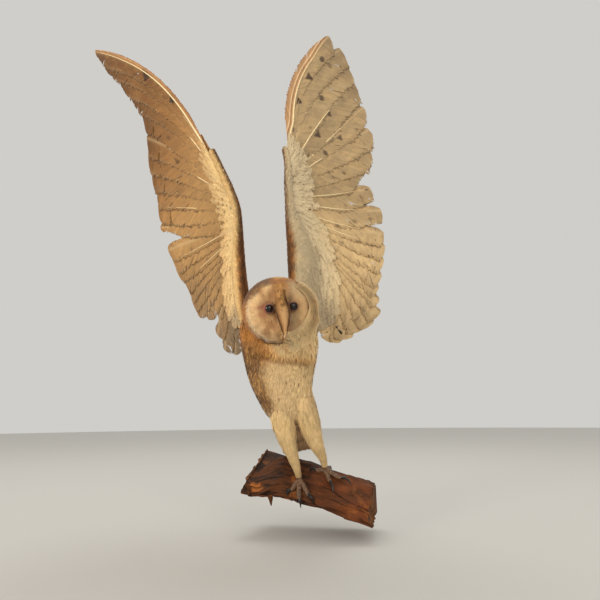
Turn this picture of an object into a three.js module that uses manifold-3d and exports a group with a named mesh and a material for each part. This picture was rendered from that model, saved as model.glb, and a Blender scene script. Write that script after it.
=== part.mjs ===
// Mounted barn owl, wings raised, standing on a short length of weathered log
// that is fixed to a wall. Millimetres, +Z up, the wall is the plane y = 0 and
// the owl stands out from it towards -Y. Origin: on the flat back of the log.
// Left and right in the names are the owl's own: its left wing is on +X.
import * as THREE from 'three';
import { mergeVertices } from 'three/addons/utils/BufferGeometryUtils.js';
import Module from 'manifold-3d';

const wasm = await Module();
wasm.setup();

// ---------------------------------------------------------------- dimensions
const GAP = 0.32;                 // clearance between touching pieces
const BODY_YAW = 25;              // degrees, breast turned towards +X
const HEAD = { c: [-9, -150, 203.5], yaw: 27, pitch: 12, roll: 7.5, half: [41, 37.5, 38] };
const EYE = { side: 13.2, up: 1.5, fwd: 17.9, r: 8.0 };
const BILL = { len: 37, root: 4, tipR: 1.4 };
const PLATE = 1.5;                // thickness of a fan of flight feathers

// spine stations of the trunk: centre, half width, half depth front and back
const TRUNK = [
  [[-12, -90, 79], 13, 10, 10], [[-13, -95, 86], 25, 20, 19],
  [[-16, -100, 103], 32, 29, 27], [[-20, -104, 127], 38.5, 35, 32],
  [[-21, -107, 148], 42.5, 37.5, 34], [[-21, -109, 167], 46, 41, 36],
  [[-23.5, -109, 187], 46.5, 38, 35], [[-26, -108, 203], 39, 29, 31],
  [[-28, -107, 214], 23, 17, 20],
];
const NECK = [
  [[-27, -100, 190], 30], [[-23, -114, 195], 38], [[-17, -130, 199], 38.5],
  [[-12, -144, 203], 33],
];
// legs: centre line from the hip to the ankle, half width, half depth
const LEG_R = [
  [[-21, -106, 112], 12, 13], [[-19, -110, 99], 15, 15.5], [[-16.5, -105, 76], 12.6, 13],
  [[-13.5, -95, 53], 9.6, 10], [[-10, -86, 37], 6.4, 6.6], [[-8.2, -77, 23], 4.3, 4.3],
  [[-7.8, -73, 15.5], 3.6, 3.6],
];
const LEG_L = [
  [[5, -98, 112], 12, 13], [[7.6, -103, 99], 14.5, 15], [[11, -92, 75], 12.4, 13],
  [[14.6, -77, 54], 9.2, 10], [[18, -65, 41], 6.6, 6.8], [[19.6, -57, 32], 4.4, 4.4],
  [[19.8, -54, 26], 3.6, 3.6],
];
const TAIL = { root: [-17, -86, 116], tip: [-20, -17, 42], w0: 15, w1: 23, t0: 4.2, t1: 1.1 };

// log: half-length ends, fall of its top edge along x, section (out from the
// wall, height above the top back edge)
const LOG = { x0: -80, x1: 77, z0: 21.5, fall: -0.275 };
const LOG_SECTION = [
  [0, 0], [12, 3], [28, 4.5], [42, 3.5], [54, -2], [64, -10], [72, -19], [77, -28],
  [76.5, -36], [70, -41], [58, -42.5], [44, -43], [28, -42], [12, -40.5], [0, -38],
];

// each wing: wrist, wing tip and the trailing tip of the hand fix its plane;
// bend is the turn of the arm out of that plane, camber the bow of the chord
const WINGS = {
  l: {
    W: [-5.5, -139, 353], T: [39.5, -80, 633], Q: [111.5, -25, 383], flip: 1, bend: 0.19, camber: 9,
    lead: [[64, -18], [42, -9], [14, -2], [-9, 6.5], [-35, 17], [-61, 29], [-86, 40], [-108, 51], [-130, 60], [-146, 50]],
    rear: [[67, -9], [45, 2], [16, 13], [-6, 24], [-22, 56], [-46, 88], [-76, 103], [-103, 112], [-130, 112], [-156, 76]],
    tips: [
      [300, 6], [296, 31], [275, 48], [251, 67], [217, 91], [181, 106], [144, 112], [104, 110], [79, 124], [50, 145],
      [15, 155], [-4, 161], [-24, 164], [-46, 166], [-64, 166], [-80, 171], [-95, 177], [-110, 170], [-123, 157],
      [-138, 144], [-148, 130], [-150, 122]],
    roots: [0.05, 0.35, 0.65, 0.95, 1.25, 1.55, 1.85, 2.15, 2.45, 2.75, 3.1, 3.32, 3.54, 3.76, 3.98, 4.2, 4.42, 4.66, 4.9,
      5.5, 6.3, 7.2],
    notch: { 4: 0.1, 7: 0.26, 8: 0.1, 9: 0.1 }, bow: 30, split: [10, 19],
  },
  r: {
    W: [-63.5, -149, 347], T: [-248, -208, 566], Q: [-212.5, -71, 351], flip: -1, bend: -0.4, camber: 9,
    lead: [[66, -26], [40, -16], [14, -6], [-7, 5], [-27, 28], [-49, 51], [-72, 70], [-94, 82], [-114, 84], [-132, 66]],
    rear: [[69, -15], [44, -2], [17, 12], [-4, 26], [-17, 56], [-36, 90], [-58, 106], [-82, 116], [-110, 118], [-143, 94]],
    tips: [
      [306, 8], [284, 15], [250, 12], [223, 17], [197, 24], [181, 52], [171, 73], [154, 91], [134, 107], [119, 127],
      [98, 150], [70, 171], [53, 180], [39, 189], [17, 191], [3, 195], [-12, 201], [-32, 201], [-53, 179], [-74, 150],
      [-88, 170], [-113, 167], [-131, 147]],
    roots: [0.05, 0.35, 0.65, 0.95, 1.25, 1.55, 1.85, 2.15, 2.45, 2.75, 3.1, 3.3, 3.5, 3.7, 3.9, 4.1, 4.3, 4.5, 4.7, 4.9,
      5.4, 6.2, 7.1],
    notch: { 10: 0.24, 4: 0.05, 9: 0.03 }, bow: 37, split: [10, 20],
  },
};

// ------------------------------------------------------------------- helpers
const rad = (d) => d * Math.PI / 180;
const V = (a) => new THREE.Vector3(a[0], a[1], a[2]);
const lerp = (a, b, t) => a + (b - a) * t;
const smooth = (a, b, x) => { const t = Math.min(1, Math.max(0, (x - a) / (b - a))); return t * t * (3 - 2 * t); };

// a smooth value along a table, at a fractional index
function along(table, t) {
  const n = table.length - 1, i = Math.min(n - 1, Math.max(0, Math.floor(t))), f = t - i;
  const p = (k) => table[Math.min(n, Math.max(0, k))];
  return p(i).map((_, c) => {
    const a = p(i - 1)[c], b = p(i)[c], d = p(i + 1)[c], e = p(i + 2)[c];
    return b + 0.5 * f * (d - a + f * (2 * a - 5 * b + 4 * d - e + f * (3 * (b - d) + e - a)));
  });
}

// closed surface from rings of equal length, capped by a fan at both ends
function shell(rings) {
  const n = rings[0].length, pos = [], idx = [];
  rings.forEach((r) => r.forEach((p) => pos.push(p.x, p.y, p.z)));
  for (let k = 0; k + 1 < rings.length; k++)
    for (let j = 0; j < n; j++) {
      const a = k * n + j, b = k * n + (j + 1) % n;
      idx.push(a, b, b + n, a, b + n, a + n);
    }
  const cap = (r, flip) => {
    const c = new THREE.Vector3();
    rings[r].forEach((p) => c.addScaledVector(p, 1 / n));
    const m = pos.length / 3;
    pos.push(c.x, c.y, c.z);
    for (let j = 0; j < n; j++) {
      const a = r * n + j, b = r * n + (j + 1) % n;
      if (flip) idx.push(m, b, a); else idx.push(m, a, b);
    }
  };
  cap(0, true);
  cap(rings.length - 1, false);
  const g = new THREE.BufferGeometry();
  g.setAttribute('position', new THREE.Float32BufferAttribute(pos, 3));
  g.setIndex(idx);
  return g;
}

function solid(geometry) {
  const g = geometry.clone();
  g.deleteAttribute('normal');
  g.deleteAttribute('uv');
  const m = mergeVertices(g, 1e-4);
  const make = (tri) => new wasm.Manifold(new wasm.Mesh({
    numProp: 3, vertProperties: new Float32Array(m.attributes.position.array), triVerts: new Uint32Array(tri),
  }));
  let s = make(m.index.array);
  if (s.volume() < 0) {
    const t = Array.from(m.index.array);
    for (let k = 0; k < t.length; k += 3) [t[k], t[k + 1]] = [t[k + 1], t[k]];
    s = make(t);
  }
  return s;
}
const biggest = (s) => s.decompose().sort((a, b) => b.volume() - a.volume())[0];
const less = (s, ...cuts) => biggest(cuts.reduce((a, c) => a.subtract(c), s));

const owl = new THREE.Group();
const mats = {};
function material(key, color, roughness, metalness = 0) {
  mats[key] = new THREE.MeshStandardMaterial({ color, roughness, metalness });
}
material('cream', 0xd8c59c, 0.85);
material('gold', 0xc79a55, 0.85);
material('face', 0xdcc8a6, 0.85);
material('flight', 0xcbb68c, 0.8);
material('horn', 0xb9a184, 0.5);
material('claw', 0x1d1815, 0.4);
material('eye', 0x0b0908, 0.08);
material('toe', 0x8a6a4a, 0.7);
material('wood', 0x6b3f22, 0.8);

function add(name, s, mat) {
  const m = s.getMesh(), g = new THREE.BufferGeometry();
  const p = new Float32Array(m.numVert * 3);
  for (let i = 0; i < m.numVert; i++)
    for (let c = 0; c < 3; c++) p[3 * i + c] = m.vertProperties[i * m.numProp + c];
  g.setAttribute('position', new THREE.BufferAttribute(p, 3));
  g.setIndex(Array.from(m.triVerts));
  g.computeVertexNormals();
  const mesh = new THREE.Mesh(g, mats[mat]);
  mesh.name = name;
  owl.add(mesh);
}

// ---------------------------------------------------------- trunk, neck, legs
const by = rad(BODY_YAW);
const BODY_LEFT = V([Math.cos(by), Math.sin(by), 0]);
const BODY_FWD = V([Math.sin(by), -Math.cos(by), 0]);

// rings across a centre line; half(t) gives half width, front and back depth
function loft(table, sides, steps, grow, halfOf, frame) {
  const rings = [], n = table.length - 1, centre = (t) => V(along(table.map((s) => s[0]), t));
  for (let k = 0; k <= steps; k++) {
    const t = n * k / steps, c = centre(t);
    const tan = centre(Math.min(n, t + 0.05)).sub(centre(Math.max(0, t - 0.05))).normalize();
    if (k === 0) c.addScaledVector(tan, -grow);
    if (k === steps) c.addScaledVector(tan, grow);
    const { side, front } = frame(tan), [w, f, b] = halfOf(t);
    const ring = [];
    for (let j = 0; j < sides; j++) {
      const a = 2 * Math.PI * j / sides, ca = Math.cos(a), sa = Math.sin(a);
      const d = (sa > 0 ? f : b) + grow;
      ring.push(c.clone().addScaledVector(side, (w + grow) * ca).addScaledVector(front, d * sa));
    }
    rings.push(ring);
  }
  return solid(shell(rings));
}
const flatFrame = () => ({ side: BODY_LEFT, front: BODY_FWD });
function acrossFrame(tan) {
  const side = BODY_LEFT.clone().addScaledVector(tan, -BODY_LEFT.dot(tan)).normalize();
  return { side, front: new THREE.Vector3().crossVectors(tan, side).multiplyScalar(-1) };
}
const trunk = (g = 0) => loft(TRUNK, 20, 11, g, (t) => along(TRUNK.map((s) => s.slice(1)), t), flatFrame);
const neck = (g = 0) => loft(NECK, 16, 4, g, (t) => { const r = along(NECK.map((s) => [s[1]]), t)[0]; return [r, r * 0.93, r * 0.93]; }, acrossFrame);
const leg = (table, g = 0) => loft(table, 10, 9, g, (t) => { const [w, d] = along(table.map((s) => s.slice(1)), t); return [w, d, d]; }, flatFrame);

// ---------------------------------------------------------------------- head
const hy = rad(HEAD.yaw), hp = rad(HEAD.pitch), hr = rad(HEAD.roll);
const HF = V([Math.sin(hy) * Math.cos(hp), -Math.cos(hy) * Math.cos(hp), -Math.sin(hp)]);
const r0 = V([Math.cos(hy), Math.sin(hy), 0]), u0 = new THREE.Vector3().crossVectors(HF, r0);
u0.multiplyScalar(u0.z < 0 ? -1 : 1);
const HU = u0.clone().multiplyScalar(Math.cos(hr)).addScaledVector(r0, -Math.sin(hr));
const HL = r0.clone().multiplyScalar(Math.cos(hr)).addScaledVector(u0, Math.sin(hr));
const onHead = (l, u, f) => V(HEAD.c).addScaledVector(HL, l).addScaledVector(HU, u).addScaledVector(HF, f);

// depth of the facial disc: a heart-shaped dish with a ridge down its middle
function disc(l, u) {
  const q = Math.hypot(l / 35, (u + 2) / 33);
  return 22.5 + 7 * q * q + 5.5 * Math.exp(-((l / 6.5) ** 2)) * smooth(22, 2, u);
}
function head(g = 0) {
  const rings = [], M = 15, N = 22;
  for (let k = 1; k < M; k++) {
    const th = Math.PI * k / M, ring = [];
    for (let j = 0; j < N; j++) {
      const ph = 2 * Math.PI * j / N;
      let l = HEAD.half[0] * Math.sin(th) * Math.cos(ph), u = HEAD.half[1] * Math.sin(th) * Math.sin(ph);
      let f = -HEAD.half[2] * Math.cos(th);
      const top = disc(l, u);
      if (f > 0) f = Math.min(f, top - 1.5 * Math.exp(-((f - top) ** 2) / 60));
      const s = 1 + g / 36;
      ring.push(onHead(l * s, u * s, f * s + (f > 0 ? g * 0.35 : 0)));
    }
    rings.push(ring);
  }
  return solid(shell(rings));
}
const ball = (r, c) => { const g = new THREE.SphereGeometry(r, 12, 8); g.translate(c.x, c.y, c.z); return solid(g); };
const eyeAt = (s) => onHead(s * EYE.side, EYE.up, EYE.fwd);

// hooked bill: rings from its root between the eyes down to the tip
function bill(g = 0, lower = false) {
  const rings = [], n = 6;
  for (let k = 0; k <= n; k++) {
    const t = k / n;
    const u = lower ? lerp(-17, -31, t) : lerp(BILL.root, BILL.root - BILL.len, t);
    const f = lower ? lerp(19, 29, t) : 24 + 13 * Math.sin(Math.PI * (0.12 + 0.62 * t)) - 4.5 * t * t;
    const w = (lower ? lerp(3.6, 1.6, t) : lerp(4.4, BILL.tipR, t ** 1.2)) + g;
    const d = (lower ? lerp(3.0, 1.2, t) : lerp(6.5, 1.5, t)) + g;
    const ring = [];
    for (let j = 0; j < 8; j++) {
      const a = 2 * Math.PI * j / 8;
      ring.push(onHead(w * Math.cos(a), u - (k === n ? g : 0) + (k === 0 ? g : 0), f + d * Math.sin(a)));
    }
    rings.push(ring);
  }
  return solid(shell(rings));
}

// ----------------------------------------------------------------------- log
const logTop = (x) => LOG.z0 + LOG.fall * x;
const lump = (x, j) => 1.5 * Math.sin(x / 13 + 1.7 * j) + 1.1 * Math.sin(x / 7.1 + 2.9 * j + 1);
function log(g = 0) {
  const rings = [], n = LOG_SECTION.length, steps = 13;
  for (let k = 0; k <= steps; k++) {
    let x = lerp(LOG.x0, LOG.x1, k / steps);
    const ring = [];
    for (let j = 0; j < n; j++) {
      const [h] = LOG_SECTION[j], onWall = j === 0 || j === n - 1;
      const z = lerp(LOG_SECTION[j][1], -0.5 * h, j < 8 ? smooth(-28, -76, x) : 0)
        + (5 - 14 * smooth(-20, -80, x)) * smooth(-15, -30, LOG_SECTION[j][1]);   // the left end is split to a wedge and deeper
      const cx = 38, cz = -19, d = Math.hypot(h - cx, z - cz);
      const taper = 1 - 0.05 * smooth(40, 77, x) - 0.03 * smooth(-60, -80, x);
      const amt = onWall ? 0 : lump(x, j) + g;
      const hh = onWall ? 0 : cx + (h - cx) * taper + (h - cx) / d * amt;
      const zz = cz + (z - cz) * taper + (z - cz) / d * (amt + (onWall ? g : 0));
      const skew = (k === 0 ? 1.5 * Math.sin(j * 1.3) - g + 6 * (1 - h / 78) : 0) + (k === steps ? 2.0 * Math.sin(j * 0.9 + 2) + g : 0);
      ring.push(new THREE.Vector3(x + skew, onWall ? (g ? 1 : 0) : -Math.max(0.6, hh), logTop(x) + zz));
    }
    rings.push(ring);
  }
  return solid(shell(rings));
}
// splinter under the left end
function splinter() {
  const rings = [];
  for (let k = 0; k <= 3; k++) {
    const t = k / 3, ring = [];
    for (let j = 0; j < 6; j++) {
      const a = Math.PI * j / 3, r = lerp(6.5, 1.0, t);
      ring.push(new THREE.Vector3(-49 + 5 * t + r * Math.cos(a), -63 - 4 * t + 0.8 * r * Math.sin(a), lerp(6, -18, t)));
    }
    rings.push(ring);
  }
  return solid(shell(rings));
}
// height of the log's top over a point, from its section
function logHeight(x, h) {
  let z = -60;
  for (let j = 1; j < 8; j++) {
    const [h1, z1] = LOG_SECTION[j - 1], [h2, z2] = LOG_SECTION[j];
    if (h >= h1 && h <= h2) z = lerp(z1, z2, (h - h1) / (h2 - h1));
  }
  return logTop(x) + z + 1.2;
}

// ---------------------------------------------------------------------- feet
// one toe: points over the log (x, out from the wall, lift), radius along it
function rope(points, radii, sides, steps, g = 0) {
  const curve = new THREE.CatmullRomCurve3(points.map((p) => V(p)), false, 'centripetal');
  const rings = [];
  for (let k = 0; k <= steps; k++) {
    const t = k / steps, c = curve.getPoint(t), tan = curve.getTangent(t);
    const side = new THREE.Vector3(0, 0, 1).cross(tan).normalize(), up = new THREE.Vector3().crossVectors(tan, side);
    if (k === 0) c.addScaledVector(tan, -g);
    if (k === steps) c.addScaledVector(tan, g);
    const r = along(radii.map((q) => [q]), t * (radii.length - 1))[0] + g, ring = [];
    for (let j = 0; j < sides; j++) {
      const a = 2 * Math.PI * j / sides;
      ring.push(c.clone().addScaledVector(side, r * Math.cos(a)).addScaledVector(up, r * Math.sin(a)));
    }
    rings.push(ring);
  }
  return solid(shell(rings));
}
// toes of a foot: heading on the log (degrees, 0 = out from the wall, 90 = +X), length
const FOOT_R = { at: [-8, 70], z: 11.5, toes: [[12, 13, 8], [64, 15, 8], [-48, 11, 7], [-160, 14, 8]] };
const FOOT_L = { at: [19.6, 51], z: 22.5, toes: [[-84, 12, 7], [38, 13, 9], [88, 20, 13], [170, 13, 9]] };
function foot(spec, g = 0) {
  const [x, h] = spec.at;
  const hub = [x, -h, spec.z];
  const toes = [], claws = [];
  spec.toes.forEach(([deg, len, claw], i) => {
    const a = rad(deg), dx = Math.sin(a), dh = Math.cos(a);
    const at = (s, lift) => {                     // past the front edge a toe bends down over it
      const over = Math.max(0, h + dh * s - 77), out = h + dh * s - over, px = x + dx * s;
      return [px, -(out + 0.15 * over + (over ? 0.5 * lift : 0)), logHeight(px, Math.min(out, 76.9)) - 0.95 * over + lift];
    };
    toes.push(rope([hub, at(len * 0.4, 4.2), at(len * 0.75, 3.1), at(len, 2.9)], [3.7, 2.9, 2.7, 2.2], 6, 5, g));
    claws.push(rope([at(len - 1.2, 3.0), at(len + claw * 0.4, 4.0), at(len + claw * 0.75, 2.2), at(len + claw * 0.9, -0.6)], [1.9, 1.6, 1.1, 0.5], 6, 4, g));
  });
  return { body: toes.reduce((p, q) => p.add(q)), claws };
}

// ---------------------------------------------------------------------- tail
function tail(g = 0) {
  const a = V(TAIL.root), b = V(TAIL.tip), dir = b.clone().sub(a).normalize();
  const side = BODY_LEFT.clone().addScaledVector(dir, -BODY_LEFT.dot(dir)).normalize();
  const up = new THREE.Vector3().crossVectors(side, dir), rings = [], n = 5, len = b.distanceTo(a);
  for (let k = 0; k <= n; k++) {
    const t = k / n, w = lerp(TAIL.w0, TAIL.w1, smooth(0, 1, t)), th = lerp(TAIL.t0, TAIL.t1, t), ring = [];
    const row = (s, q) => {                       // s across -1..1, q above or below
      const end = t === 1 ? -4 * s * s - 1.2 * Math.abs(Math.sin(4 * Math.PI * (s + 1) / 2)) : 0;
      return a.clone().addScaledVector(dir, len * t + end).addScaledVector(side, w * s)
        .addScaledVector(up, q * th - 3 * s * s + 5 * Math.sin(Math.PI * t) * 0.6);
    };
    for (let j = 0; j <= 8; j++) ring.push(row(-1 + j / 4, -1));
    for (let j = 8; j >= 0; j--) ring.push(row(-1 + j / 4, 1));
    rings.push(ring);
  }
  return solid(shell(rings));
}

// --------------------------------------------------------------------- wings
function wing(spec) {
  const W = V(spec.W), T = V(spec.T), Q = V(spec.Q);
  const e1 = T.clone().sub(W).normalize();
  const n = new THREE.Vector3().crossVectors(T.clone().sub(W), Q.clone().sub(W)).multiplyScalar(spec.flip).normalize();
  const e2 = new THREE.Vector3().crossVectors(n, e1);
  if (Q.clone().sub(W).dot(e2) < 0) e2.multiplyScalar(-1);
  const soft = (x) => 0.5 * (x + Math.sqrt(x * x + 625)) - 12.5;
  const at = (u, v, h = 0) => W.clone().addScaledVector(e1, u).addScaledVector(e2, v)
    .addScaledVector(n, h + spec.bend * soft(-u) + spec.camber * Math.sin(Math.PI * Math.min(1, Math.max(0, v / 150))));

  // the arm between leading edge and feather roots, from station a to station b
  const arm = (a, b, steps, g = 0) => {
    const rings = [], cols = 5;
    for (let k = 0; k <= steps; k++) {
      const t = lerp(a, b, k / steps), p = along(spec.lead, t), q = along(spec.rear, t), ring = [];
      if (g) {
        const w = Math.hypot(q[0] - p[0], q[1] - p[1]), d = [(q[0] - p[0]) / w * g, (q[1] - p[1]) / w * g];
        const e = k === 0 ? g : k === steps ? -g : 0;
        for (const c of [0, 1]) { p[c] -= d[c]; q[c] += d[c]; }
        p[0] += e; q[0] += e;
      }
      const thick = lerp(3.2, 10.5, smooth(1, 8, t));
      const point = (c, sgn) => {
        const f = c / cols, lens = Math.sin(Math.PI * Math.min(1, f * 1.25 + 0.08) ** 0.8);
        const hh = sgn * (g + PLATE / 2 + thick * Math.max(0, lens) * (f > 0 && f < 1 ? 1 : 0.25));
        return at(lerp(p[0], q[0], f), lerp(p[1], q[1], f), hh);
      };
      for (let c = 0; c <= cols; c++) ring.push(point(c, -1));
      for (let c = cols; c >= 0; c--) ring.push(point(c, 1));
      rings.push(ring);
    }
    return solid(shell(rings));
  };

  // a fan of feathers from index i0 to i1, stepped at each feather's tip
  const N = spec.tips.length;
  const root = (i) => {
    const r = along(spec.roots.map((x) => [x]), Math.min(N - 1, Math.max(0, i)))[0] + (i < 0 ? i * 0.12 : 0) + (i > N - 1 ? (i - N + 1) * 0.9 : 0);
    return along(spec.rear, Math.min(8, Math.max(-0.1, r)));
  };
  const column = (i, side) => {
    const k = Math.round(i), off = Math.abs(i - k);
    const r = root(i), q = along(spec.lead, 0);
    let tip = i < 0 ? spec.tips[0].map((x, c) => x + (c ? 7 * i : 0)) : i > N - 1
      ? spec.tips[N - 1].map((x, c) => x + (c ? -10 : -6) * (i - N + 1)) : [0, 1].map((c) => {
        const a = Math.min(N - 2, Math.floor(i)), f = i - a;
        return lerp(spec.tips[a][c], spec.tips[a + 1][c], f);
      });
    const cut = off > 0.45 ? (spec.notch[Math.floor(i)] ?? 0.045) : off > 0.25 ? 0.006 : 0;
    const bow = spec.bow * Math.max(0, 1 - (i + 0.5) / 9) ** 1.5;
    const L = Math.hypot(tip[0] - r[0], tip[1] - r[1]), px = -(tip[1] - r[1]) / L, py = (tip[0] - r[0]) / L;
    const m = [(r[0] + tip[0]) / 2 + 2 * bow * px * -1 * -1, (r[1] + tip[1]) / 2 - 2 * bow * py];
    const pts = [];
    for (let s = 0; s <= 4; s++) {
      const f = 0.012 + (s / 4) * (0.988 - cut), g = 1 - f;
      pts.push([g * g * r[0] + 2 * f * g * m[0] + f * f * tip[0], g * g * r[1] + 2 * f * g * m[1] + f * f * tip[1]]);
    }
    return pts;
  };
  const fan = (i0, i1) => {
    const list = [i0 - 0.5 + 0.04];
    for (let i = i0; i <= i1; i++) {
      if (i > i0) list.push(i - 0.5);
      list.push(i - 0.3, i + 0.3);
    }
    list.push(i1 + 0.5 - 0.04);
    const rings = list.map((i) => {
      const pts = column(i), ring = [];
      pts.forEach((p) => ring.push(at(p[0], p[1], -PLATE / 2)));
      pts.slice().reverse().forEach((p) => ring.push(at(p[0], p[1], PLATE / 2)));
      return ring;
    });
    return solid(shell(rings));
  };
  const [a, b] = spec.split, arms = [[0, 2.96, 4], [3.0, 4.97, 3], [5.02, 9, 6]];
  const whole = arms.map((r) => arm(...r, 0.36)).reduce((p, q) => p.add(q));
  return {
    hand: arm(...arms[0]), forearm: arm(...arms[1]), upper: arm(...arms[2]),
    primaries: less(fan(0, a - 1), whole), secondaries: less(fan(a, b - 1), whole), tertials: less(fan(b, N - 1), whole),
  };
}

// ------------------------------------------------------------------ assembly
const logSolid = log(0).add(splinter());
add('base_log', logSolid, 'wood');
const logCut = log(0.45);

const eyes = { l: eyeAt(1), r: eyeAt(-1) };
const upperBill = bill(0), lowerBill = less(bill(0, true), bill(GAP));
const headSolid = less(head(0), ball(EYE.r + GAP, eyes.l), ball(EYE.r + GAP, eyes.r), bill(GAP), bill(GAP, true));
add('head', headSolid, 'face');
add('eye_l', ball(EYE.r, eyes.l), 'eye');
add('eye_r', ball(EYE.r, eyes.r), 'eye');
add('bill_upper', upperBill, 'horn');
add('bill_lower', lowerBill, 'horn');

const headCut = head(GAP), neckCut = neck(GAP), trunkCut = trunk(GAP);
const billCut = bill(GAP).add(bill(GAP, true));
add('neck', less(neck(0), headCut, billCut), 'gold');
add('trunk', less(trunk(0), neckCut, headCut, billCut), 'cream');

const legCut = leg(LEG_R, GAP).add(leg(LEG_L, GAP));
add('leg_r', less(leg(LEG_R), trunkCut), 'cream');
add('leg_l', less(leg(LEG_L), trunkCut, leg(LEG_R, GAP)), 'cream');
for (const [side, spec] of [['r', FOOT_R], ['l', FOOT_L]]) {
  const f = foot(spec), cut = foot(spec, GAP);
  add(`foot_${side}`, less(f.body, legCut, logCut), 'toe');
  f.claws.forEach((c, i) => add(`claw_${side}_${i + 1}`, less(c, cut.body, logCut), 'claw'));
}
add('tail', less(tail(), trunkCut, legCut, logCut), 'gold');

const bodyCut = [trunkCut, neckCut, headCut];
for (const side of ['l', 'r']) {
  const w = wing(WINGS[side]);
  add(`wing_${side}_hand`, w.hand, 'gold');
  add(`wing_${side}_forearm`, less(w.forearm, ...bodyCut), 'gold');
  add(`wing_${side}_upper_arm`, less(w.upper, ...bodyCut), 'gold');
  add(`wing_${side}_primaries`, w.primaries, 'flight');
  add(`wing_${side}_secondaries`, less(w.secondaries, ...bodyCut), 'flight');
  add(`wing_${side}_tertials`, less(w.tertials, ...bodyCut), 'flight');
}

export default owl;
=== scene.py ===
# Mounted barn owl, wings raised, on a short weathered log: the finish and the
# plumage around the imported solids. Metres in Blender, millimetres in the code
# below until a mesh is made. The wall is y = 0, the owl stands out to -Y.
import bpy
import math
import numpy as np
from mathutils import Matrix, Vector
from mathutils.bvhtree import BVHTree
from mathutils.kdtree import KDTree


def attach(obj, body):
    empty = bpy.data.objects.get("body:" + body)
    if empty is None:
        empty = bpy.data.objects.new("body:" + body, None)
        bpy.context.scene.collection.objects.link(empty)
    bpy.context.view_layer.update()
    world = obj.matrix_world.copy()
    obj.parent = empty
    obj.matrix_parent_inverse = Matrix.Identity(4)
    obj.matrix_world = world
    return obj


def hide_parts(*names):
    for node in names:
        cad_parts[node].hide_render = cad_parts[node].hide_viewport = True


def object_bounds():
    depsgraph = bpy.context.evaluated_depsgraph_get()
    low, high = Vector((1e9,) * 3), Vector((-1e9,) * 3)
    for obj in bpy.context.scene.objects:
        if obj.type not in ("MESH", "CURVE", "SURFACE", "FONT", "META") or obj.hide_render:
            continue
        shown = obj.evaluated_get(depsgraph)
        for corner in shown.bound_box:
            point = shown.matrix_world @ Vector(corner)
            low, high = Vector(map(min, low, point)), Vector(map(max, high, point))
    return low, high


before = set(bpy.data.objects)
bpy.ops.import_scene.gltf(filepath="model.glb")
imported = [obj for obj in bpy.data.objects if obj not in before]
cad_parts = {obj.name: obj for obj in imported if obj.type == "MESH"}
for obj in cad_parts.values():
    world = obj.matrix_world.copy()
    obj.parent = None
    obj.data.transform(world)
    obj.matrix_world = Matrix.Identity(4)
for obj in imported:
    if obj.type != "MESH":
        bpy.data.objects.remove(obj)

CAD_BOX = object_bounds()
A = np.array
MM = 0.001

# ------------------------------------------------------------------ dimensions
BODY_YAW = 25
HEAD = dict(c=A([-9, -150, 203.5]), yaw=27, pitch=12, roll=7.5, half=A([41, 37.5, 38]))
EYE = dict(side=13.2, up=1.5, fwd=17.9, r=8.0)
BILL = dict(len=37, root=4, tip=1.4)
TRUNK = [
    [-12, -90, 79, 13, 10, 10], [-13, -95, 86, 25, 20, 19], [-16, -100, 103, 32, 29, 27],
    [-20, -104, 127, 38.5, 35, 32], [-21, -107, 148, 42.5, 37.5, 34], [-21, -109, 167, 46, 41, 36],
    [-23.5, -109, 187, 46.5, 38, 35], [-26, -108, 203, 39, 29, 31], [-28, -107, 214, 23, 17, 20]]
NECK = [[-27, -100, 190, 30], [-23, -114, 195, 38], [-17, -130, 199, 38.5], [-12, -144, 203, 33]]
LEG = dict(
    r=[[-21, -106, 112, 12, 13], [-19, -110, 99, 15, 15.5], [-16.5, -105, 76, 12.6, 13],
       [-13.5, -95, 53, 9.6, 10], [-10, -86, 37, 6.4, 6.6], [-8.2, -77, 23, 4.3, 4.3], [-7.8, -73, 15.5, 3.6, 3.6]],
    l=[[5, -98, 112, 12, 13], [7.6, -103, 99, 14.5, 15], [11, -92, 75, 12.4, 13],
       [14.6, -77, 54, 9.2, 10], [18, -65, 41, 6.6, 6.8], [19.6, -57, 32, 4.4, 4.4], [19.8, -54, 26, 3.6, 3.6]])
TAIL = dict(root=A([-17., -86, 116]), tip=A([-20., -17, 42]), w0=15, w1=23, t0=4.2, t1=1.1)
LOG = dict(x0=-80, x1=77, z0=21.5, fall=-0.275)
LOG_SECTION = A([
    [0, 0], [12, 3], [28, 4.5], [42, 3.5], [54, -2], [64, -10], [72, -19], [77, -28],
    [76.5, -36], [70, -41], [58, -42.5], [44, -43], [28, -42], [12, -40.5], [0, -38]], float)
FOOT = dict(
    r=dict(at=(-8, 70), z=11.5, toes=[[12, 13, 8], [64, 15, 8], [-48, 11, 7], [-160, 14, 8]]),
    l=dict(at=(19.6, 51), z=22.5, toes=[[-84, 12, 7], [38, 13, 9], [88, 20, 13], [170, 13, 9]]))
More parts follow.
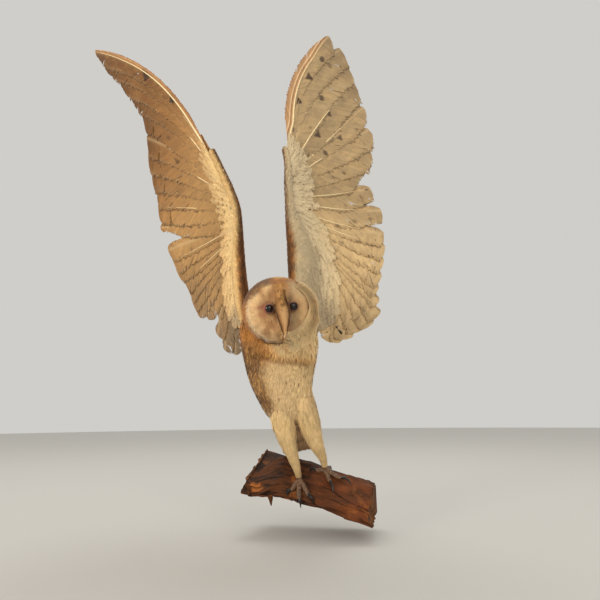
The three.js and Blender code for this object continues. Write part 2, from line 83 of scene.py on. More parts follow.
WINGS = dict(
    l=dict(
        W=[-5.5, -139, 353], T=[39.5, -80, 633], Q=[111.5, -25, 383], flip=1, bend=0.19, camber=9, bow=30,
        lead=[[64, -18], [42, -9], [14, -2], [-9, 6.5], [-35, 17], [-61, 29], [-86, 40], [-108, 51], [-130, 60], [-146, 50]],
        rear=[[67, -9], [45, 2], [16, 13], [-6, 24], [-22, 56], [-46, 88], [-76, 103], [-103, 112], [-130, 112], [-156, 76]],
        tips=[[300, 6], [296, 31], [275, 48], [251, 67], [217, 91], [181, 106], [144, 112], [104, 110], [79, 124], [50, 145],
              [15, 155], [-4, 161], [-24, 164], [-46, 166], [-64, 166], [-80, 171], [-95, 177], [-110, 170], [-123, 157],
              [-138, 144], [-148, 130], [-150, 122]],
        roots=[0.05, 0.35, 0.65, 0.95, 1.25, 1.55, 1.85, 2.15, 2.45, 2.75, 3.1, 3.32, 3.54, 3.76, 3.98, 4.2, 4.42, 4.66,
               4.9, 5.5, 6.3, 7.2],
        notch={4: 0.1, 7: 0.26, 8: 0.1, 9: 0.1}, split=(10, 19)),
    r=dict(
        W=[-63.5, -149, 347], T=[-248, -208, 566], Q=[-212.5, -71, 351], flip=-1, bend=-0.4, camber=9, bow=37,
        lead=[[66, -26], [40, -16], [14, -6], [-7, 5], [-27, 28], [-49, 51], [-72, 70], [-94, 82], [-114, 84], [-132, 66]],
        rear=[[69, -15], [44, -2], [17, 12], [-4, 26], [-17, 56], [-36, 90], [-58, 106], [-82, 116], [-110, 118], [-143, 94]],
        tips=[[306, 8], [284, 15], [250, 12], [223, 17], [197, 24], [181, 52], [171, 73], [154, 91], [134, 107], [119, 127],
              [98, 150], [70, 171], [53, 180], [39, 189], [17, 191], [3, 195], [-12, 201], [-32, 201], [-53, 179],
              [-74, 150], [-88, 170], [-113, 167], [-131, 147]],
        roots=[0.05, 0.35, 0.65, 0.95, 1.25, 1.55, 1.85, 2.15, 2.45, 2.75, 3.1, 3.3, 3.5, 3.7, 3.9, 4.1, 4.3, 4.5, 4.7, 4.9,
               5.4, 6.2, 7.1],
        notch={10: 0.24, 4: 0.05, 9: 0.03}, split=(10, 20)))


# --------------------------------------------------------------------- helpers
def sm(a, b, x):
    t = np.clip((np.asarray(x, float) - a) / (b - a), 0, 1)
    return t * t * (3 - 2 * t)


def lerp(a, b, t):
    return a + (b - a) * t


def along(table, t):
    """Smooth value of a table at fractional indices."""
    T = A(table, float)
    if T.ndim == 1:
        T = T[:, None]
    t = np.atleast_1d(np.asarray(t, float))
    n = len(T) - 1
    i = np.clip(np.floor(t).astype(int), 0, n - 1)
    f = (t - i)[:, None]
    a, b, d, e = (T[np.clip(i + k, 0, n)] for k in (-1, 0, 1, 2))
    return b + 0.5 * f * (d - a + f * (2 * a - 5 * b + 4 * d - e + f * (3 * (b - d) + e - a)))


def unit(v):
    return v / np.maximum(np.linalg.norm(v, axis=-1, keepdims=True), 1e-9)


def dot(a, b):
    return (a * b).sum(-1)


def hash01(i, j, k, seed):
    n = (i * 73856093) ^ (j * 19349663) ^ (k * 83492791) ^ (seed * 40503 + 977)
    n = (n ^ (n >> 13)) & 0x7FFFFFFF
    n = (n * 1274126177) & 0x7FFFFFFF
    n = (n ^ (n >> 15)) & 0x7FFFFFFF
    n = (n * 668265263) & 0x7FFFFFFF
    return ((n >> 7) & 0xFFFF) / 65535.0


def noise(P, scale, seed=0):
    """Smooth value noise, 0 to 1, with cells of the given size (a number or three)."""
    Q = np.atleast_2d(P) / np.asarray(scale, float)
    if Q.shape[1] == 2:
        Q = np.c_[Q, np.zeros(len(Q))]
    I = np.floor(Q).astype(np.int64)
    F = Q - I
    F = F * F * (3 - 2 * F)
    out = np.zeros(len(Q))
    for a in (0, 1):
        for b in (0, 1):
            for c in (0, 1):
                w = (F[:, 0] if a else 1 - F[:, 0]) * (F[:, 1] if b else 1 - F[:, 1]) * (F[:, 2] if c else 1 - F[:, 2])
                out += w * hash01(I[:, 0] + a, I[:, 1] + b, I[:, 2] + c, seed)
    return out


def fbm(P, scale, seed=0):
    return 0.55 * noise(P, scale, seed) + 0.3 * noise(P, np.asarray(scale) / 2.1, seed + 1) + 0.15 * noise(P, np.asarray(scale) / 4.3, seed + 2)


def lin(c):
    """sRGB 0..255 to linear."""
    c = np.asarray(c, float) / 255.0
    return np.where(c <= 0.04045, c / 12.92, ((c + 0.055) / 1.055) ** 2.4)


def mix(a, b, t):
    """Blend two colours, each one colour or one per point."""
    t = np.clip(np.asarray(t, float), 0, 1)
    a, b = np.asarray(a, float), np.asarray(b, float)
    return a + (b - a) * t[..., None]


def mesh_object(name, V, F, col=None, uv=None, normals=None, mat=None, smooth=True, scale=MM):
    """V (n,3) in mm, F a list of (m,k) index arrays, col (n,3) linear, uv (n,2) by vertex."""
    me = bpy.data.meshes.new(name)
    V = np.asarray(V, np.float32) * scale
    me.vertices.add(len(V))
    me.vertices.foreach_set("co", V.ravel())
    F = [np.asarray(f, np.int32) for f in (F if isinstance(F, list) else [F]) if len(f)]
    loops = np.concatenate([f.ravel() for f in F])
    sizes = np.concatenate([np.full(len(f), f.shape[1], np.int32) for f in F])
    starts = np.concatenate([[0], np.cumsum(sizes)[:-1]]).astype(np.int32)
    me.loops.add(len(loops))
    me.loops.foreach_set("vertex_index", loops)
    me.polygons.add(len(sizes))
    me.polygons.foreach_set("loop_start", starts)
    me.update(calc_edges=True)
    me.polygons.foreach_set("use_smooth", np.full(len(sizes), smooth, bool))
    if col is not None:
        c = me.color_attributes.new("Col", "FLOAT_COLOR", "POINT")
        rgba = np.ones((len(V), 4), np.float32)
        rgba[:, :3] = np.clip(col, 0, 1)
        c.data.foreach_set("color", rgba.ravel())
    if uv is not None:
        layer = me.uv_layers.new(name="OFBake")
        layer.data.foreach_set("uv", np.asarray(uv, np.float32)[loops].ravel())
    if normals is not None:
        me.normals_split_custom_set_from_vertices(np.asarray(normals, np.float32))
    ob = bpy.data.objects.new(name, me)
    bpy.context.scene.collection.objects.link(ob)
    if mat is not None:
        me.materials.append(mat)
    return ob


def grid_faces(n, m, close=False, base=0):
    """Quads of an n by m grid of points, the second way closed or not."""
    i = np.arange(n - 1)[:, None]
    j = np.arange(m if close else m - 1)[None, :]
    a = i * m + j
    b = i * m + (j + 1) % m
    return (np.stack([a, b, b + m, a + m], -1).reshape(-1, 4) + base).astype(np.int32)


def tube_mesh(rings):
    """Closed surface from rings (n, m, 3), both ends capped by a fan."""
    n, m, _ = rings.shape
    V = np.concatenate([rings.reshape(-1, 3), rings[0].mean(0)[None], rings[-1].mean(0)[None]])
    q = grid_faces(n, m, True)
    j = np.arange(m)
    k = (j + 1) % m
    t0 = np.stack([np.full(m, n * m), k, j], 1)
    t1 = np.stack([np.full(m, n * m + 1), (n - 1) * m + j, (n - 1) * m + k], 1)
    return V, [q, np.concatenate([t0, t1])]


def join_meshes(parts):
    """parts: list of (V, [F..]); returns the joined points and faces."""
    Vs, Fq, Ft, base = [], [], [], 0
    for V, F in parts:
        Vs.append(V)
        for f in F:
            (Fq if f.shape[1] == 4 else Ft).append(f + base)
        base += len(V)
    out = []
    if Fq:
        out.append(np.concatenate(Fq))
    if Ft:
        out.append(np.concatenate(Ft))
    return np.concatenate(Vs), out


# --------------------------------------------------------- body, legs and head
rad = math.radians
BL = A([math.cos(rad(BODY_YAW)), math.sin(rad(BODY_YAW)), 0.0])
BF = A([math.sin(rad(BODY_YAW)), -math.cos(rad(BODY_YAW)), 0.0])
ZUP = A([0.0, 0, 1])


def rings_of(table, t, sides, halves, across, a0=0.0):
    """Rings (n, sides, 3) over a centre line; halves (n,3): half width, front, back."""
    T = A(table, float)
    c = along(T[:, :3], t)
    n = len(T) - 1
    tan = unit(along(T[:, :3], np.minimum(n, t + 0.05)) - along(T[:, :3], np.maximum(0, t - 0.05)))
    if across:
        side = unit(BL - tan * dot(np.broadcast_to(BL, tan.shape), tan)[:, None])
        front = -np.cross(tan, side)
    else:
        side, front = np.broadcast_to(BL, tan.shape), np.broadcast_to(BF, tan.shape)
    a = 2 * np.pi * np.arange(sides) / sides + a0
    ca, sa = np.cos(a)[None, :, None], np.sin(a)[None, :, None]
    d = np.where(sa > 0, halves[:, 1][:, None, None], halves[:, 2][:, None, None])
    return c[:, None] + side[:, None] * halves[:, 0][:, None, None] * ca + front[:, None] * d * sa, tan


def trunk_rings(t, sides, g):
    h = along(A(TRUNK, float)[:, 3:6], t) + np.asarray(g).reshape(-1, 1)
    # the breast feathers stand out in a fold over the crop, the hind part narrows to the tail
    return rings_of(TRUNK, t, sides, np.maximum(h, 1.5), False)


def neck_rings(t, sides, g):
    r = along(A(NECK, float)[:, 3], t)
    h = np.c_[r, r * 0.93, r * 0.93] + g
    return rings_of(NECK, t, sides, h, True)


def leg_rings(which, t, sides, g):
    h = along(A(LEG[which], float)[:, 3:5], t)
    h = np.c_[h[:, 0], h[:, 1], h[:, 1]] + np.asarray(g).reshape(-1, 1)
    return rings_of(LEG[which], t, sides, np.maximum(h, 1.2), False)


hy, hp, hr = rad(HEAD["yaw"]), rad(HEAD["pitch"]), rad(HEAD["roll"])
HF = A([math.sin(hy) * math.cos(hp), -math.cos(hy) * math.cos(hp), -math.sin(hp)])
_r0 = A([math.cos(hy), math.sin(hy), 0.0])
_u0 = np.cross(HF, _r0)
_u0 = -_u0 if _u0[2] < 0 else _u0
HU = _u0 * math.cos(hr) - _r0 * math.sin(hr)
HL = _r0 * math.cos(hr) + _u0 * math.sin(hr)


def on_head(l, u, f):
    l, u, f = (np.asarray(x, float)[..., None] for x in (l, u, f))
    return HEAD["c"] + HL * l + HU * u + HF * f


def head_lu(P):
    q = P - HEAD["c"]
    return q @ HL, q @ HU, q @ HF


def rim_q(l, u):
    """1 on the rim of the facial disc, 0 at its middle; heart shaped."""
    q = np.hypot(l / 35.0, (u + 2) / 33.0)
    return q + 0.13 * np.exp(-(l / 9.0) ** 2) * sm(8, 27, u)      # the notch over the forehead


def disc(l, u):
    q = np.hypot(l / 35.0, (u + 2) / 33.0)
    return 22.5 + 7 * q * q + 5.5 * np.exp(-((l / 6.5) ** 2)) * sm(22, 2, u)


def head_surface(th, ph, g):
    """Points of the head at polar angle th from the face's middle axis, ph round it."""
    l = HEAD["half"][0] * np.sin(th) * np.cos(ph)
    u = HEAD["half"][1] * np.sin(th) * np.sin(ph)
    f = HEAD["half"][2] * np.cos(th)
    top = disc(l, u)
    k = 3.0                                           # soft minimum, so the dish has a rounded lip
    h = np.clip(0.5 + 0.5 * (f - top) / k, 0, 1)
    f2 = np.where(f > 0, f + (top - f) * h - k * h * (1 - h), f)
    # hollows round the eyes and in front of them
    for s in (-1, 1):
        d = np.hypot((l - s * EYE["side"]) / 1.0, (u - EYE["up"]) / 1.0)
        f2 = np.where(f > 0, f2 - 1.1 * np.exp(-((d - 8.5) / 3.2) ** 2), f2)
        d2 = np.hypot(l - s * 7.2, u + 3)
        f2 = np.where(f > 0, f2 - 1.2 * np.exp(-(d2 / 4.0) ** 2), f2)
    q = rim_q(l, u)
    lift = np.where(f > -8, 1.3 * np.exp(-((q - 1.0) / 0.07) ** 2), 0)
    s = 1 + g / 36.0
    return l * s * (1 + lift / 40), u * s * (1 + lift / 40), f2 * s + np.where(f2 > 0, -g * 0.25, 0) + lift * 0.6


COAT = dict(trunk=-2.3, neck=-2.3, head=-2.0, leg=-1.3)
dense = []          # dense samples of each part: points, region, first and second coordinate


def note(P, region, a, b):
    dense.append((P.reshape(-1, 3), np.full(P.size // 3, region), np.asarray(a, float).ravel(), np.asarray(b, float).ravel()))


R_HEAD, R_NECK, R_TRUNK, R_LEG_R, R_LEG_L, R_WL_V, R_WL_D, R_WR_V, R_WR_D = range(9)
shells = []

t = np.linspace(0, 8, 90)
g = np.full(90, COAT["trunk"])
rg, _ = trunk_rings(t, 96, g)
shells.append(tube_mesh(rg))
aa = np.broadcast_to(2 * np.pi * np.arange(96) / 96, (90, 96))
note(rg, R_TRUNK, np.broadcast_to(t[:, None], (90, 96)), aa)

t = np.linspace(0, 3, 40)
rg, _ = neck_rings(t, 80, COAT["neck"])
shells.append(tube_mesh(rg))
aa = np.broadcast_to(2 * np.pi * np.arange(80) / 80, (40, 80))
note(rg, R_NECK, np.broadcast_to(t[:, None], (40, 80)), aa)

for side, reg in (("r", R_LEG_R), ("l", R_LEG_L)):
    t = np.linspace(0, 6, 80)
    g = lerp(COAT["leg"] - 0.5, -0.55, sm(1, 5.2, t))
    rg, _ = leg_rings(side, t, 40, g)
    shells.append(tube_mesh(rg))
    aa = np.broadcast_to(2 * np.pi * np.arange(40) / 40, (80, 40))
    note(rg, reg, np.broadcast_to(t[:, None], (80, 40)), aa)

th = np.linspace(0.012, math.pi - 0.02, 120)[:, None]
ph = (2 * math.pi * np.arange(144) / 144)[None, :]
hl, hu, hf = head_surface(th + 0 * ph, ph + 0 * th, COAT["head"])
rg = on_head(hl, hu, hf)
shells.append(tube_mesh(rg[::-1]))
note(rg, R_HEAD, hl, hu)


# ----------------------------------------------------------------------- wings
class Wing:
    def __init__(self, side):
        s = WINGS[side]
        self.s, self.side = s, side
        W, T, Q = (A(s[k], float) for k in "WTQ")
        self.W = W
        self.e1 = unit(T - W)
        self.n = unit(np.cross(T - W, Q - W) * s["flip"])
        self.e2 = np.cross(self.n, self.e1)
        if dot(Q - W, self.e2) < 0:
            self.e2 = -self.e2
        self.N = len(s["tips"])

    def at(self, u, v, h=0.0):
        u, v, h = (np.asarray(x, float) for x in (u, v, h))
        soft = 0.5 * (-u + np.sqrt(u * u + 625)) - 12.5
        k = h + self.s["bend"] * soft + self.s["camber"] * np.sin(np.pi * np.clip(v / 150, 0, 1))
        return self.W + self.e1 * u[..., None] + self.e2 * v[..., None] + self.n * k[..., None]

    def normal(self, u, v):
        u, v = np.asarray(u, float), np.asarray(v, float)
        ds = 0.5 * (-1 + u / np.sqrt(u * u + 625)) * self.s["bend"]
        dc = self.s["camber"] * np.pi / 150 * np.cos(np.pi * np.clip(v / 150, 0, 1)) * ((v > 0) & (v < 150))
        a = self.e1 + self.n * ds[..., None]
        b = self.e2 + self.n * dc[..., None]
        m = unit(np.cross(a, b))
        return m * np.sign(dot(m, np.broadcast_to(self.n, m.shape)))[..., None]

    def uv(self, P):
        q = P - self.W
        return q @ self.e1, q @ self.e2

    def thick(self, t, c):
        """Half thickness of the arm at station t and chord fraction c."""
        k = lerp(3.2, 10.5, sm(1, 8, t))
        lens = np.sin(np.pi * np.minimum(1, np.clip(c, 0, 1) * 1.25 + 0.08) ** 0.8)
        return 0.75 + k * np.clip(lens, 0, 1)

    def chord(self, t, c):
        p, q = along(self.s["lead"], t), along(self.s["rear"], t)
        return lerp(p, q, np.asarray(c, float)[..., None])

    def curve(self, i, n=101):
        """Shaft of flight feather i (may be fractional), in (u, v)."""
        s = self.s
        i = float(i)
        r = along(s["rear"], along(s["roots"], i)[0, 0])[0]
        a = min(self.N - 2, int(i))
        t = lerp(A(s["tips"][a], float), A(s["tips"][a + 1], float), i - a)
        bow = s["bow"] * max(0.0, 1 - (i + 0.5) / 9) ** 1.5
        L = math.hypot(*(t - r))
        m = (r + t) / 2 + 2 * bow * A([-(t[1] - r[1]), (t[0] - r[0])]) / L * A([1, 1]) * A([1, 1])
        m = A([(r[0] + t[0]) / 2 + 2 * bow * (-(t[1] - r[1]) / L), (r[1] + t[1]) / 2 - 2 * bow * ((t[0] - r[0]) / L)])
        k = np.linspace(0, 1, n)[:, None]
        return (1 - k) ** 2 * r + 2 * k * (1 - k) * m + k * k * t


wings = {k: Wing(k) for k in "lr"}
for side, w in wings.items():
    nt, nc = 150, 34
    t = np.linspace(0, 9, nt)
    c = np.linspace(0, 1, nc)
    TT, CC = np.meshgrid(t, c, indexing="ij")
    uvp = w.chord(TT.ravel(), CC.ravel()).reshape(nt, nc, 2)
    half = np.maximum(w.thick(TT, CC) - lerp(0.35, 1.1, sm(0.5, 4, TT)), 0.7)
    lo = w.at(uvp[..., 0], uvp[..., 1], -half)
    hi = w.at(uvp[..., 0], uvp[..., 1], half)
    rg = np.concatenate([lo, hi[:, ::-1]], 1)
    shells.append(tube_mesh(rg))
    note(lo, R_WL_V if side == "l" else R_WR_V, TT, CC)
    note(hi, R_WL_D if side == "l" else R_WR_D, TT, CC)

# --------------------------------------------------------------------- one skin
V, F = join_meshes(shells)
skin = mesh_object("owl_skin", V, F)
m = skin.modifiers.new("one", "REMESH")
m.mode = "VOXEL"
m.voxel_size = 0.00135
m.adaptivity = 0.0
m = skin.modifiers.new("soft", "SMOOTH")
m.factor, m.iterations = 0.5, 4
dg = bpy.context.evaluated_depsgraph_get()
body = bpy.data.meshes.new_from_object(skin.evaluated_get(dg))
old = skin.data
skin.modifiers.clear()
skin.data = body
bpy.data.meshes.remove(old)


def arrays(me):
    V = np.zeros(len(me.vertices) * 3)
    me.vertices.foreach_get("co", V)
    me.calc_loop_triangles()
    T = np.zeros(len(me.loop_triangles) * 3, np.int32)
    me.loop_triangles.foreach_get("vertices", T)
    E = np.zeros(len(me.edges) * 2, np.int32)
    me.edges.foreach_get("vertices", E)
    N = np.zeros(len(me.vertices) * 3)
    me.vertices.foreach_get("normal", N)
    return V.reshape(-1, 3) / MM, T.reshape(-1, 3), E.reshape(-1, 2), N.reshape(-1, 3)


SV, ST, SE, SN = arrays(skin.data)
TA, TB, TC = (SV[ST[:, k]] for k in range(3))
face_n = np.cross(TB - TA, TC - TA)
if dot(face_n, SN[ST[:, 0]]).mean() < 0:
    SN = -SN
face_area = 0.5 * np.linalg.norm(face_n, axis=1)
deg = np.bincount(SE.ravel(), minlength=len(SV)).astype(float)


def spread(X, times):
    """Averages a value over neighbouring points of the skin."""
    X = np.asarray(X, float).copy()
    for _ in range(times):
        Y = np.stack([np.bincount(SE[:, 0], X[SE[:, 1], k], len(SV)) + np.bincount(SE[:, 1], X[SE[:, 0], k], len(SV))
                      for k in range(X.shape[1])], 1)
        X = (X + Y) / (1 + deg)[:, None]
    return X


dP = np.concatenate([d[0] for d in dense])
dR = np.concatenate([d[1] for d in dense])
dA = np.concatenate([d[2] for d in dense])
dB = np.concatenate([d[3] for d in dense])
tree = KDTree(len(dP))
for i, p in enumerate(dP):
    tree.insert(p, i)
tree.balance()
near = A([tree.find(p)[1] for p in SV])
REG, CA, CB = dR[near], dA[near], dB[near]
is_wing = REG >= R_WL_V

# --------------------------------------------------------------- the markings
# Plumage colours as functions of the place on the bird; skin and coat share them.
CREAM, BELLY = lin((222, 198, 154)), lin((214, 182, 134))
PALE, GOLD = lin((236, 204, 148)), lin((208, 156, 86))
ORANGE, BROWN = lin((186, 118, 52)), lin((112, 76, 44))
DARK, GREY = lin((66, 44, 28)), lin((140, 126, 106))
FACE_L, FACE_R = lin((216, 170, 116)), lin((212, 174, 124))
RUST, RIM = lin((104, 52, 22)), lin((238, 206, 160))
CROWN, CROWN_D = lin((172, 116, 58)), lin((72, 48, 28))
# under-wing lining: one colour as a lit golden copy (r) and a shaded grey copy (l), painted light and shade
LINING_R_LIT, LINING_L_SHADED = lin((242, 204, 140)), lin((204, 184, 148))
LEAD, LEAD_D = lin((192, 124, 56)), lin((74, 44, 24))
MANTLE = lin((192, 142, 82))


def body_angle(reg_b):
    """owl's left, front: 1 towards it, -1 away."""
    return np.cos(reg_b), np.sin(reg_b)


# dark marks of the under side in the wing's own (u, v): place, half length along the feather, half width, depth, kind
SPOTS = dict(
    l=[(246, 4, 5.0, 3.4, .85, 1), (199, -7, 5.0, 4.6, .95, 2), (149, -12, 4.2, 3.6, .95, 2), (99, -10, 3.4, 1.3, .6, 1), (181, 19, 4.6, 3.3, .85, 1),
       (165, 38, 4.6, 3.6, .85, 2), (118, 28, 5.2, 3.8, .9, 2), (138, 63, 4.6, 3.6, .8, 2), (98, 45, 3.2, 3.6, .8, 1), (76, 20, 4.2, 1.1, .65, 1),
       (120, 13, 2.4, 1.6, .5, 1), (72, 56, 2.2, 2.2, .5, 1), (84, 80, 2.4, 2.4, .65, 1), (38, 7, 2.2, 2.0, .5, 1), (169, 86, 3.2, 2.4, .45, 1),
       (248, 19, 4.4, 4.0, .5, 1), (208, 54, 4.4, 4.0, .3, 1), (1, 86, 3.8, 1.9, .55, 1), (17, 109, 3.8, 2.1, .55, 1), (-20, 98, 3.2, 1.7, .5, 1),
       (-9, 121, 3.2, 2.0, .5, 1), (30, 131, 3.2, 2.1, .45, 1), (75, 118, 3.0, 0.9, .8, 1), (45, 27, 2, 1.6, .4, 1),
       (35, 91, 2.4, 1.8, .35, 1), (67, 65, 1.8, 1.8, .4, 1), (22, 8, 2, 1.6, .5, 1)],
    r=[(203, -27, 5.6, 5.4, .95, 2), (151, -31, 5.0, 4.8, .95, 2), (105, -26, 4.2, 2.0, .85, 1), (116, 39, 4.6, 3.2, .65, 2), (76, 94, 2.6, 2.1, .5, 1),
       (42, 94, 2.6, 2.5, .55, 1), (66, 114, 2.2, 2.0, .4, 1), (7, 67, 2.0, 2.0, .6, 1), (12, 33, 1.7, 1.6, .75, 1), (4, 16, 1.6, 1.5, .7, 1),
       (11, 19, 1.7, 1.4, .7, 1), (18, 25, 1.5, 1.5, .65, 1), (2, 27, 1.5, 1.5, .65, 1), (22, 17, 1.5, 1.3, .6, 1), (34, 132, 2.4, 2.2, .5, 1),
       (16, 139, 2.4, 2.3, .5, 1), (28, 163, 2.6, 2.3, .45, 1), (4, 120, 2.2, 2.0, .45, 1), (36, 35, 2.0, 1.8, .4, 1), (55, 34, 2.0, 1.8, .4, 1),
       (-24, 150, 2.6, 2.2, .4, 1), (-44, 128, 2.4, 2.2, .4, 1), (96, 62, 2.6, 2.2, .4, 1), (140, 18, 3.4, 2.6, .35, 1), (-18, 66, 2, 1.8, .5, 1)])


def spots(w, U, V, d):
    """Strength of the dark marks at wing places (U, V); d is the feather's direction there."""
    k = np.zeros(len(U))
    for su, sv_, a, b, amt, kind in SPOTS[w.side]:
        x, y = U - su, V - sv_
        near_ = (np.abs(x) < 14) & (np.abs(y) < 14)
        if not near_.any():
            continue
        x, y = x[near_], y[near_]
        dx, dy = d[near_, 0], d[near_, 1]
        along_, across = x * dx + y * dy, -x * dy + y * dx
        wob = 0.16 * (noise(np.c_[x, y, 0 * x + su], 1.3, 47) - 0.5)
        if kind == 2:                                                 # a wedge, its broad side towards the shaft
            q = np.maximum(np.abs(along_) / (1.1 * a * np.clip(0.85 - 0.55 * across / b, 0.15, 1.4)), np.abs(across) / (1.15 * b)) + wob
        else:
            q = np.hypot(along_ / a, across / b) / 1.25 + wob
        k[near_] = np.maximum(k[near_], amt * sm(1.15, 0.75, q))
    return k


def marks(P, reg, a, b):
    """Linear colour of the plumage at points P (mm), by region and its coordinates."""
    n = len(P)
    col = np.empty((n, 3))
    n1, n2 = fbm(P, 15.0, 3), fbm(P, 5.0, 9)
    streak = fbm(P, (3.4, 3.4, 15.0), 21)
    z = P[:, 2]
    # trunk and neck
    left, front = body_angle(b)
    zc = lerp(158, 152, sm(-0.8, 0.8, left)) - 3.5 * np.exp(-((left + 0.05) / 0.35) ** 2) + 3 * (n1 - 0.5)
    shelf = sm(-1.5, 3.0, z - zc)
    gold = np.maximum(shelf * sm(0.40, -0.20, left), 0.7 * shelf * sm(17, 3, z - zc)) * sm(-0.75, 0.3, front)
    c = mix(BELLY, PALE, sm(0.0, 0.9, left))
    c = mix(c, mix(lin((214, 150, 70)), lin((222, 172, 100)), sm(0.35, 0.65, n1)), gold * 0.9)
    sh = sm(0.0, -0.6, left + 0.15 * (n1 - 0.5)) * sm(140, 160, z) * sm(-0.8, 0.2, front)
    c = mix(c, ORANGE, sh * 0.75)
    c = mix(c, BROWN, sh * 0.75 * sm(182, 158, z) * sm(-0.22, -0.7, left))
    # painted highlight: two soft light spots on the breast fold
    painted_breast_highlight = np.maximum(np.exp(-((z - zc - 11) / 6.5) ** 2 - ((left - 0.02) / 0.30) ** 2), 0.9 * np.exp(-((z - zc - 20) / 7) ** 2 - ((left - 0.30) / 0.25) ** 2)) * sm(0.2, 0.7, front)
    c = mix(c, lin((255, 228, 176)), 0.9 * painted_breast_highlight)
    c = mix(c, lin((252, 218, 158)), 0.6 * sm(2, 9, z - zc) * sm(-0.25, 0.15, left) * sm(0.0, 0.6, front))
    # painted shade along the crease under the breast fold
    crease_shade = np.exp(-((z - zc + 1.0) / 2.4) ** 2) * sm(-0.1, 0.5, front) * sm(0.95, 0.6, np.abs(left))
    c = mix(c, lin((138, 92, 46)), 0.65 * crease_shade)
    # golden flank with brown streaks, which are plumage; the browner tone there is partly painted shade
    flank = sm(-0.36, -0.85, left + 0.25 * (n1 - 0.5) - 0.25 * np.clip(-front, 0, 1)) * sm(186, 150, z) * sm(88, 104, z)
    flank = np.maximum(flank, 0)
    c = mix(c, mix(GOLD, BROWN, sm(0.36, 0.60, streak)), flank * 0.9)
    back = sm(0.10, -0.55, front + 0.2 * (n1 - 0.5)) * lerp(1, 0.75, sm(0.3, 1.0, left))
    bc = mix(MANTLE, GREY, 0.85 * sm(0.40, 0.62, n2))
    bc = mix(bc, mix(MANTLE, PALE, 0.5), sm(112, 92, z) * 0.7)
    c = mix(c, bc, back)
    c = c * (0.94 + 0.12 * n2)[:, None]
    body_c = c
    # legs
    leg_c = mix(lin((234, 202, 146)), lin((200, 168, 118)), sm(42, 18, z)) * (0.86 + 0.28 * noise(P, (7, 7, 12), 17))[:, None]
    leg_c = mix(leg_c, mix(BELLY, PALE, 0.4), 0.85 * sm(86, 102, z + 10 * (n1 - 0.5)))
    # head
    l, u, f = head_lu(P)
    q = rim_q(l, u)
    ang = np.arctan2(u + 1.0, l - np.sign(l) * 13.2)
    rays = noise(np.c_[ang * 9, np.hypot(l, u) / 16, np.sign(l) * 5 + 0 * l], 1.0, 11)      # fine lines that run out from the eyes
    fc = mix(FACE_L, FACE_R, sm(-4, 12, l))
    fc = mix(fc, lin((240, 206, 156)), 0.7 * sm(0.50, 0.88, q) * sm(0, -6, l) * sm(0.3, 0.6, n1 + 0.1))
    fc = mix(fc, lin((168, 118, 76)), 0.75 * sm(0.50, 0.70, rays) * sm(7, 14, np.hypot(np.abs(l) - 13.2, u)))
    fc = mix(fc, lin((198, 176, 138)), 0.5 * sm(4, 16, l) * sm(4, 18, u))
    fc = mix(fc, lin((146, 122, 94)), 0.5 * sm(4, 7, l) * sm(20, 11, l) * sm(1, -6, u) * sm(-34, -24, u))     # painted shade in the hollow beside the bill
    fc = mix(fc, lin((216, 180, 124)), 0.6 * sm(-20, -28, u) * sm(4, 14, l))
    for s in (-1, 1):
        d = np.hypot(l - s * EYE["side"], u - EYE["up"])
        fc = mix(fc, lin((150, 104, 72)), (0.60 if s < 0 else 0.45) * sm(9.5, 5.5, d))
        # rusty wedge from the inner corner down beside the bill
        x = l - s * np.interp(u, [-26, -11, 3.8, 8], [3.2, 7.0, 8.0, 9.0])
        w = np.interp(u, [-26, -14, -8, 3, 6], [0.9, 1.3, 2.4, 2.9, 1.6])
        fc = mix(fc, RUST, (0.85 if s < 0 else 0.12) * sm(1.0, 0.35, np.abs(x) / w) * sm(9.5, 5, u) * sm(-28, -22, u) * lerp(1, 0.6, sm(-8, -16, u)))
    # the bare pink corner of one eye, and a few rosy feathers under it; dark lashes over the other
    tri = sm(-28.5, -24, l) * sm(-15.5, -17.5, l) * sm(1.0, 0.3, np.abs(u - 3.6 - 0.05 * (l + 18)) / lerp(2.7, 1.1, sm(-17, -27, l)))
    fc = mix(fc, lin((178, 88, 78)), 0.85 * tri)
    fc = mix(fc, lin((190, 112, 84)), 0.7 * sm(0.5, 0.65, noise(P, 1.6, 13)) * sm(-26, -23, l) * sm(-15, -18, l) * sm(0, -2, u) * sm(-9, -6, u))
    fc = mix(fc, lin((70, 50, 34)), 0.7 * np.exp(-((l - 11.2) / 1.9) ** 2 - ((u - 9.6) / 3.4) ** 2))
    # painted shade: a dark band over each eye, under the brow feathers
    for s in (-1, 1):
        d = np.hypot(l - s * EYE["side"], u - EYE["up"])
        fc = mix(fc, lin((104, 60, 42)), (0.75 if s < 0 else 0.5) * sm(7.6, 5.6, d) * sm(0.5, 3.5, u - EYE["up"]))
    fc = mix(fc, lin((132, 86, 52)), 0.7 * np.exp(-((l - 20) / 3.0) ** 2 - ((u - 2.6) / 1.2) ** 2))
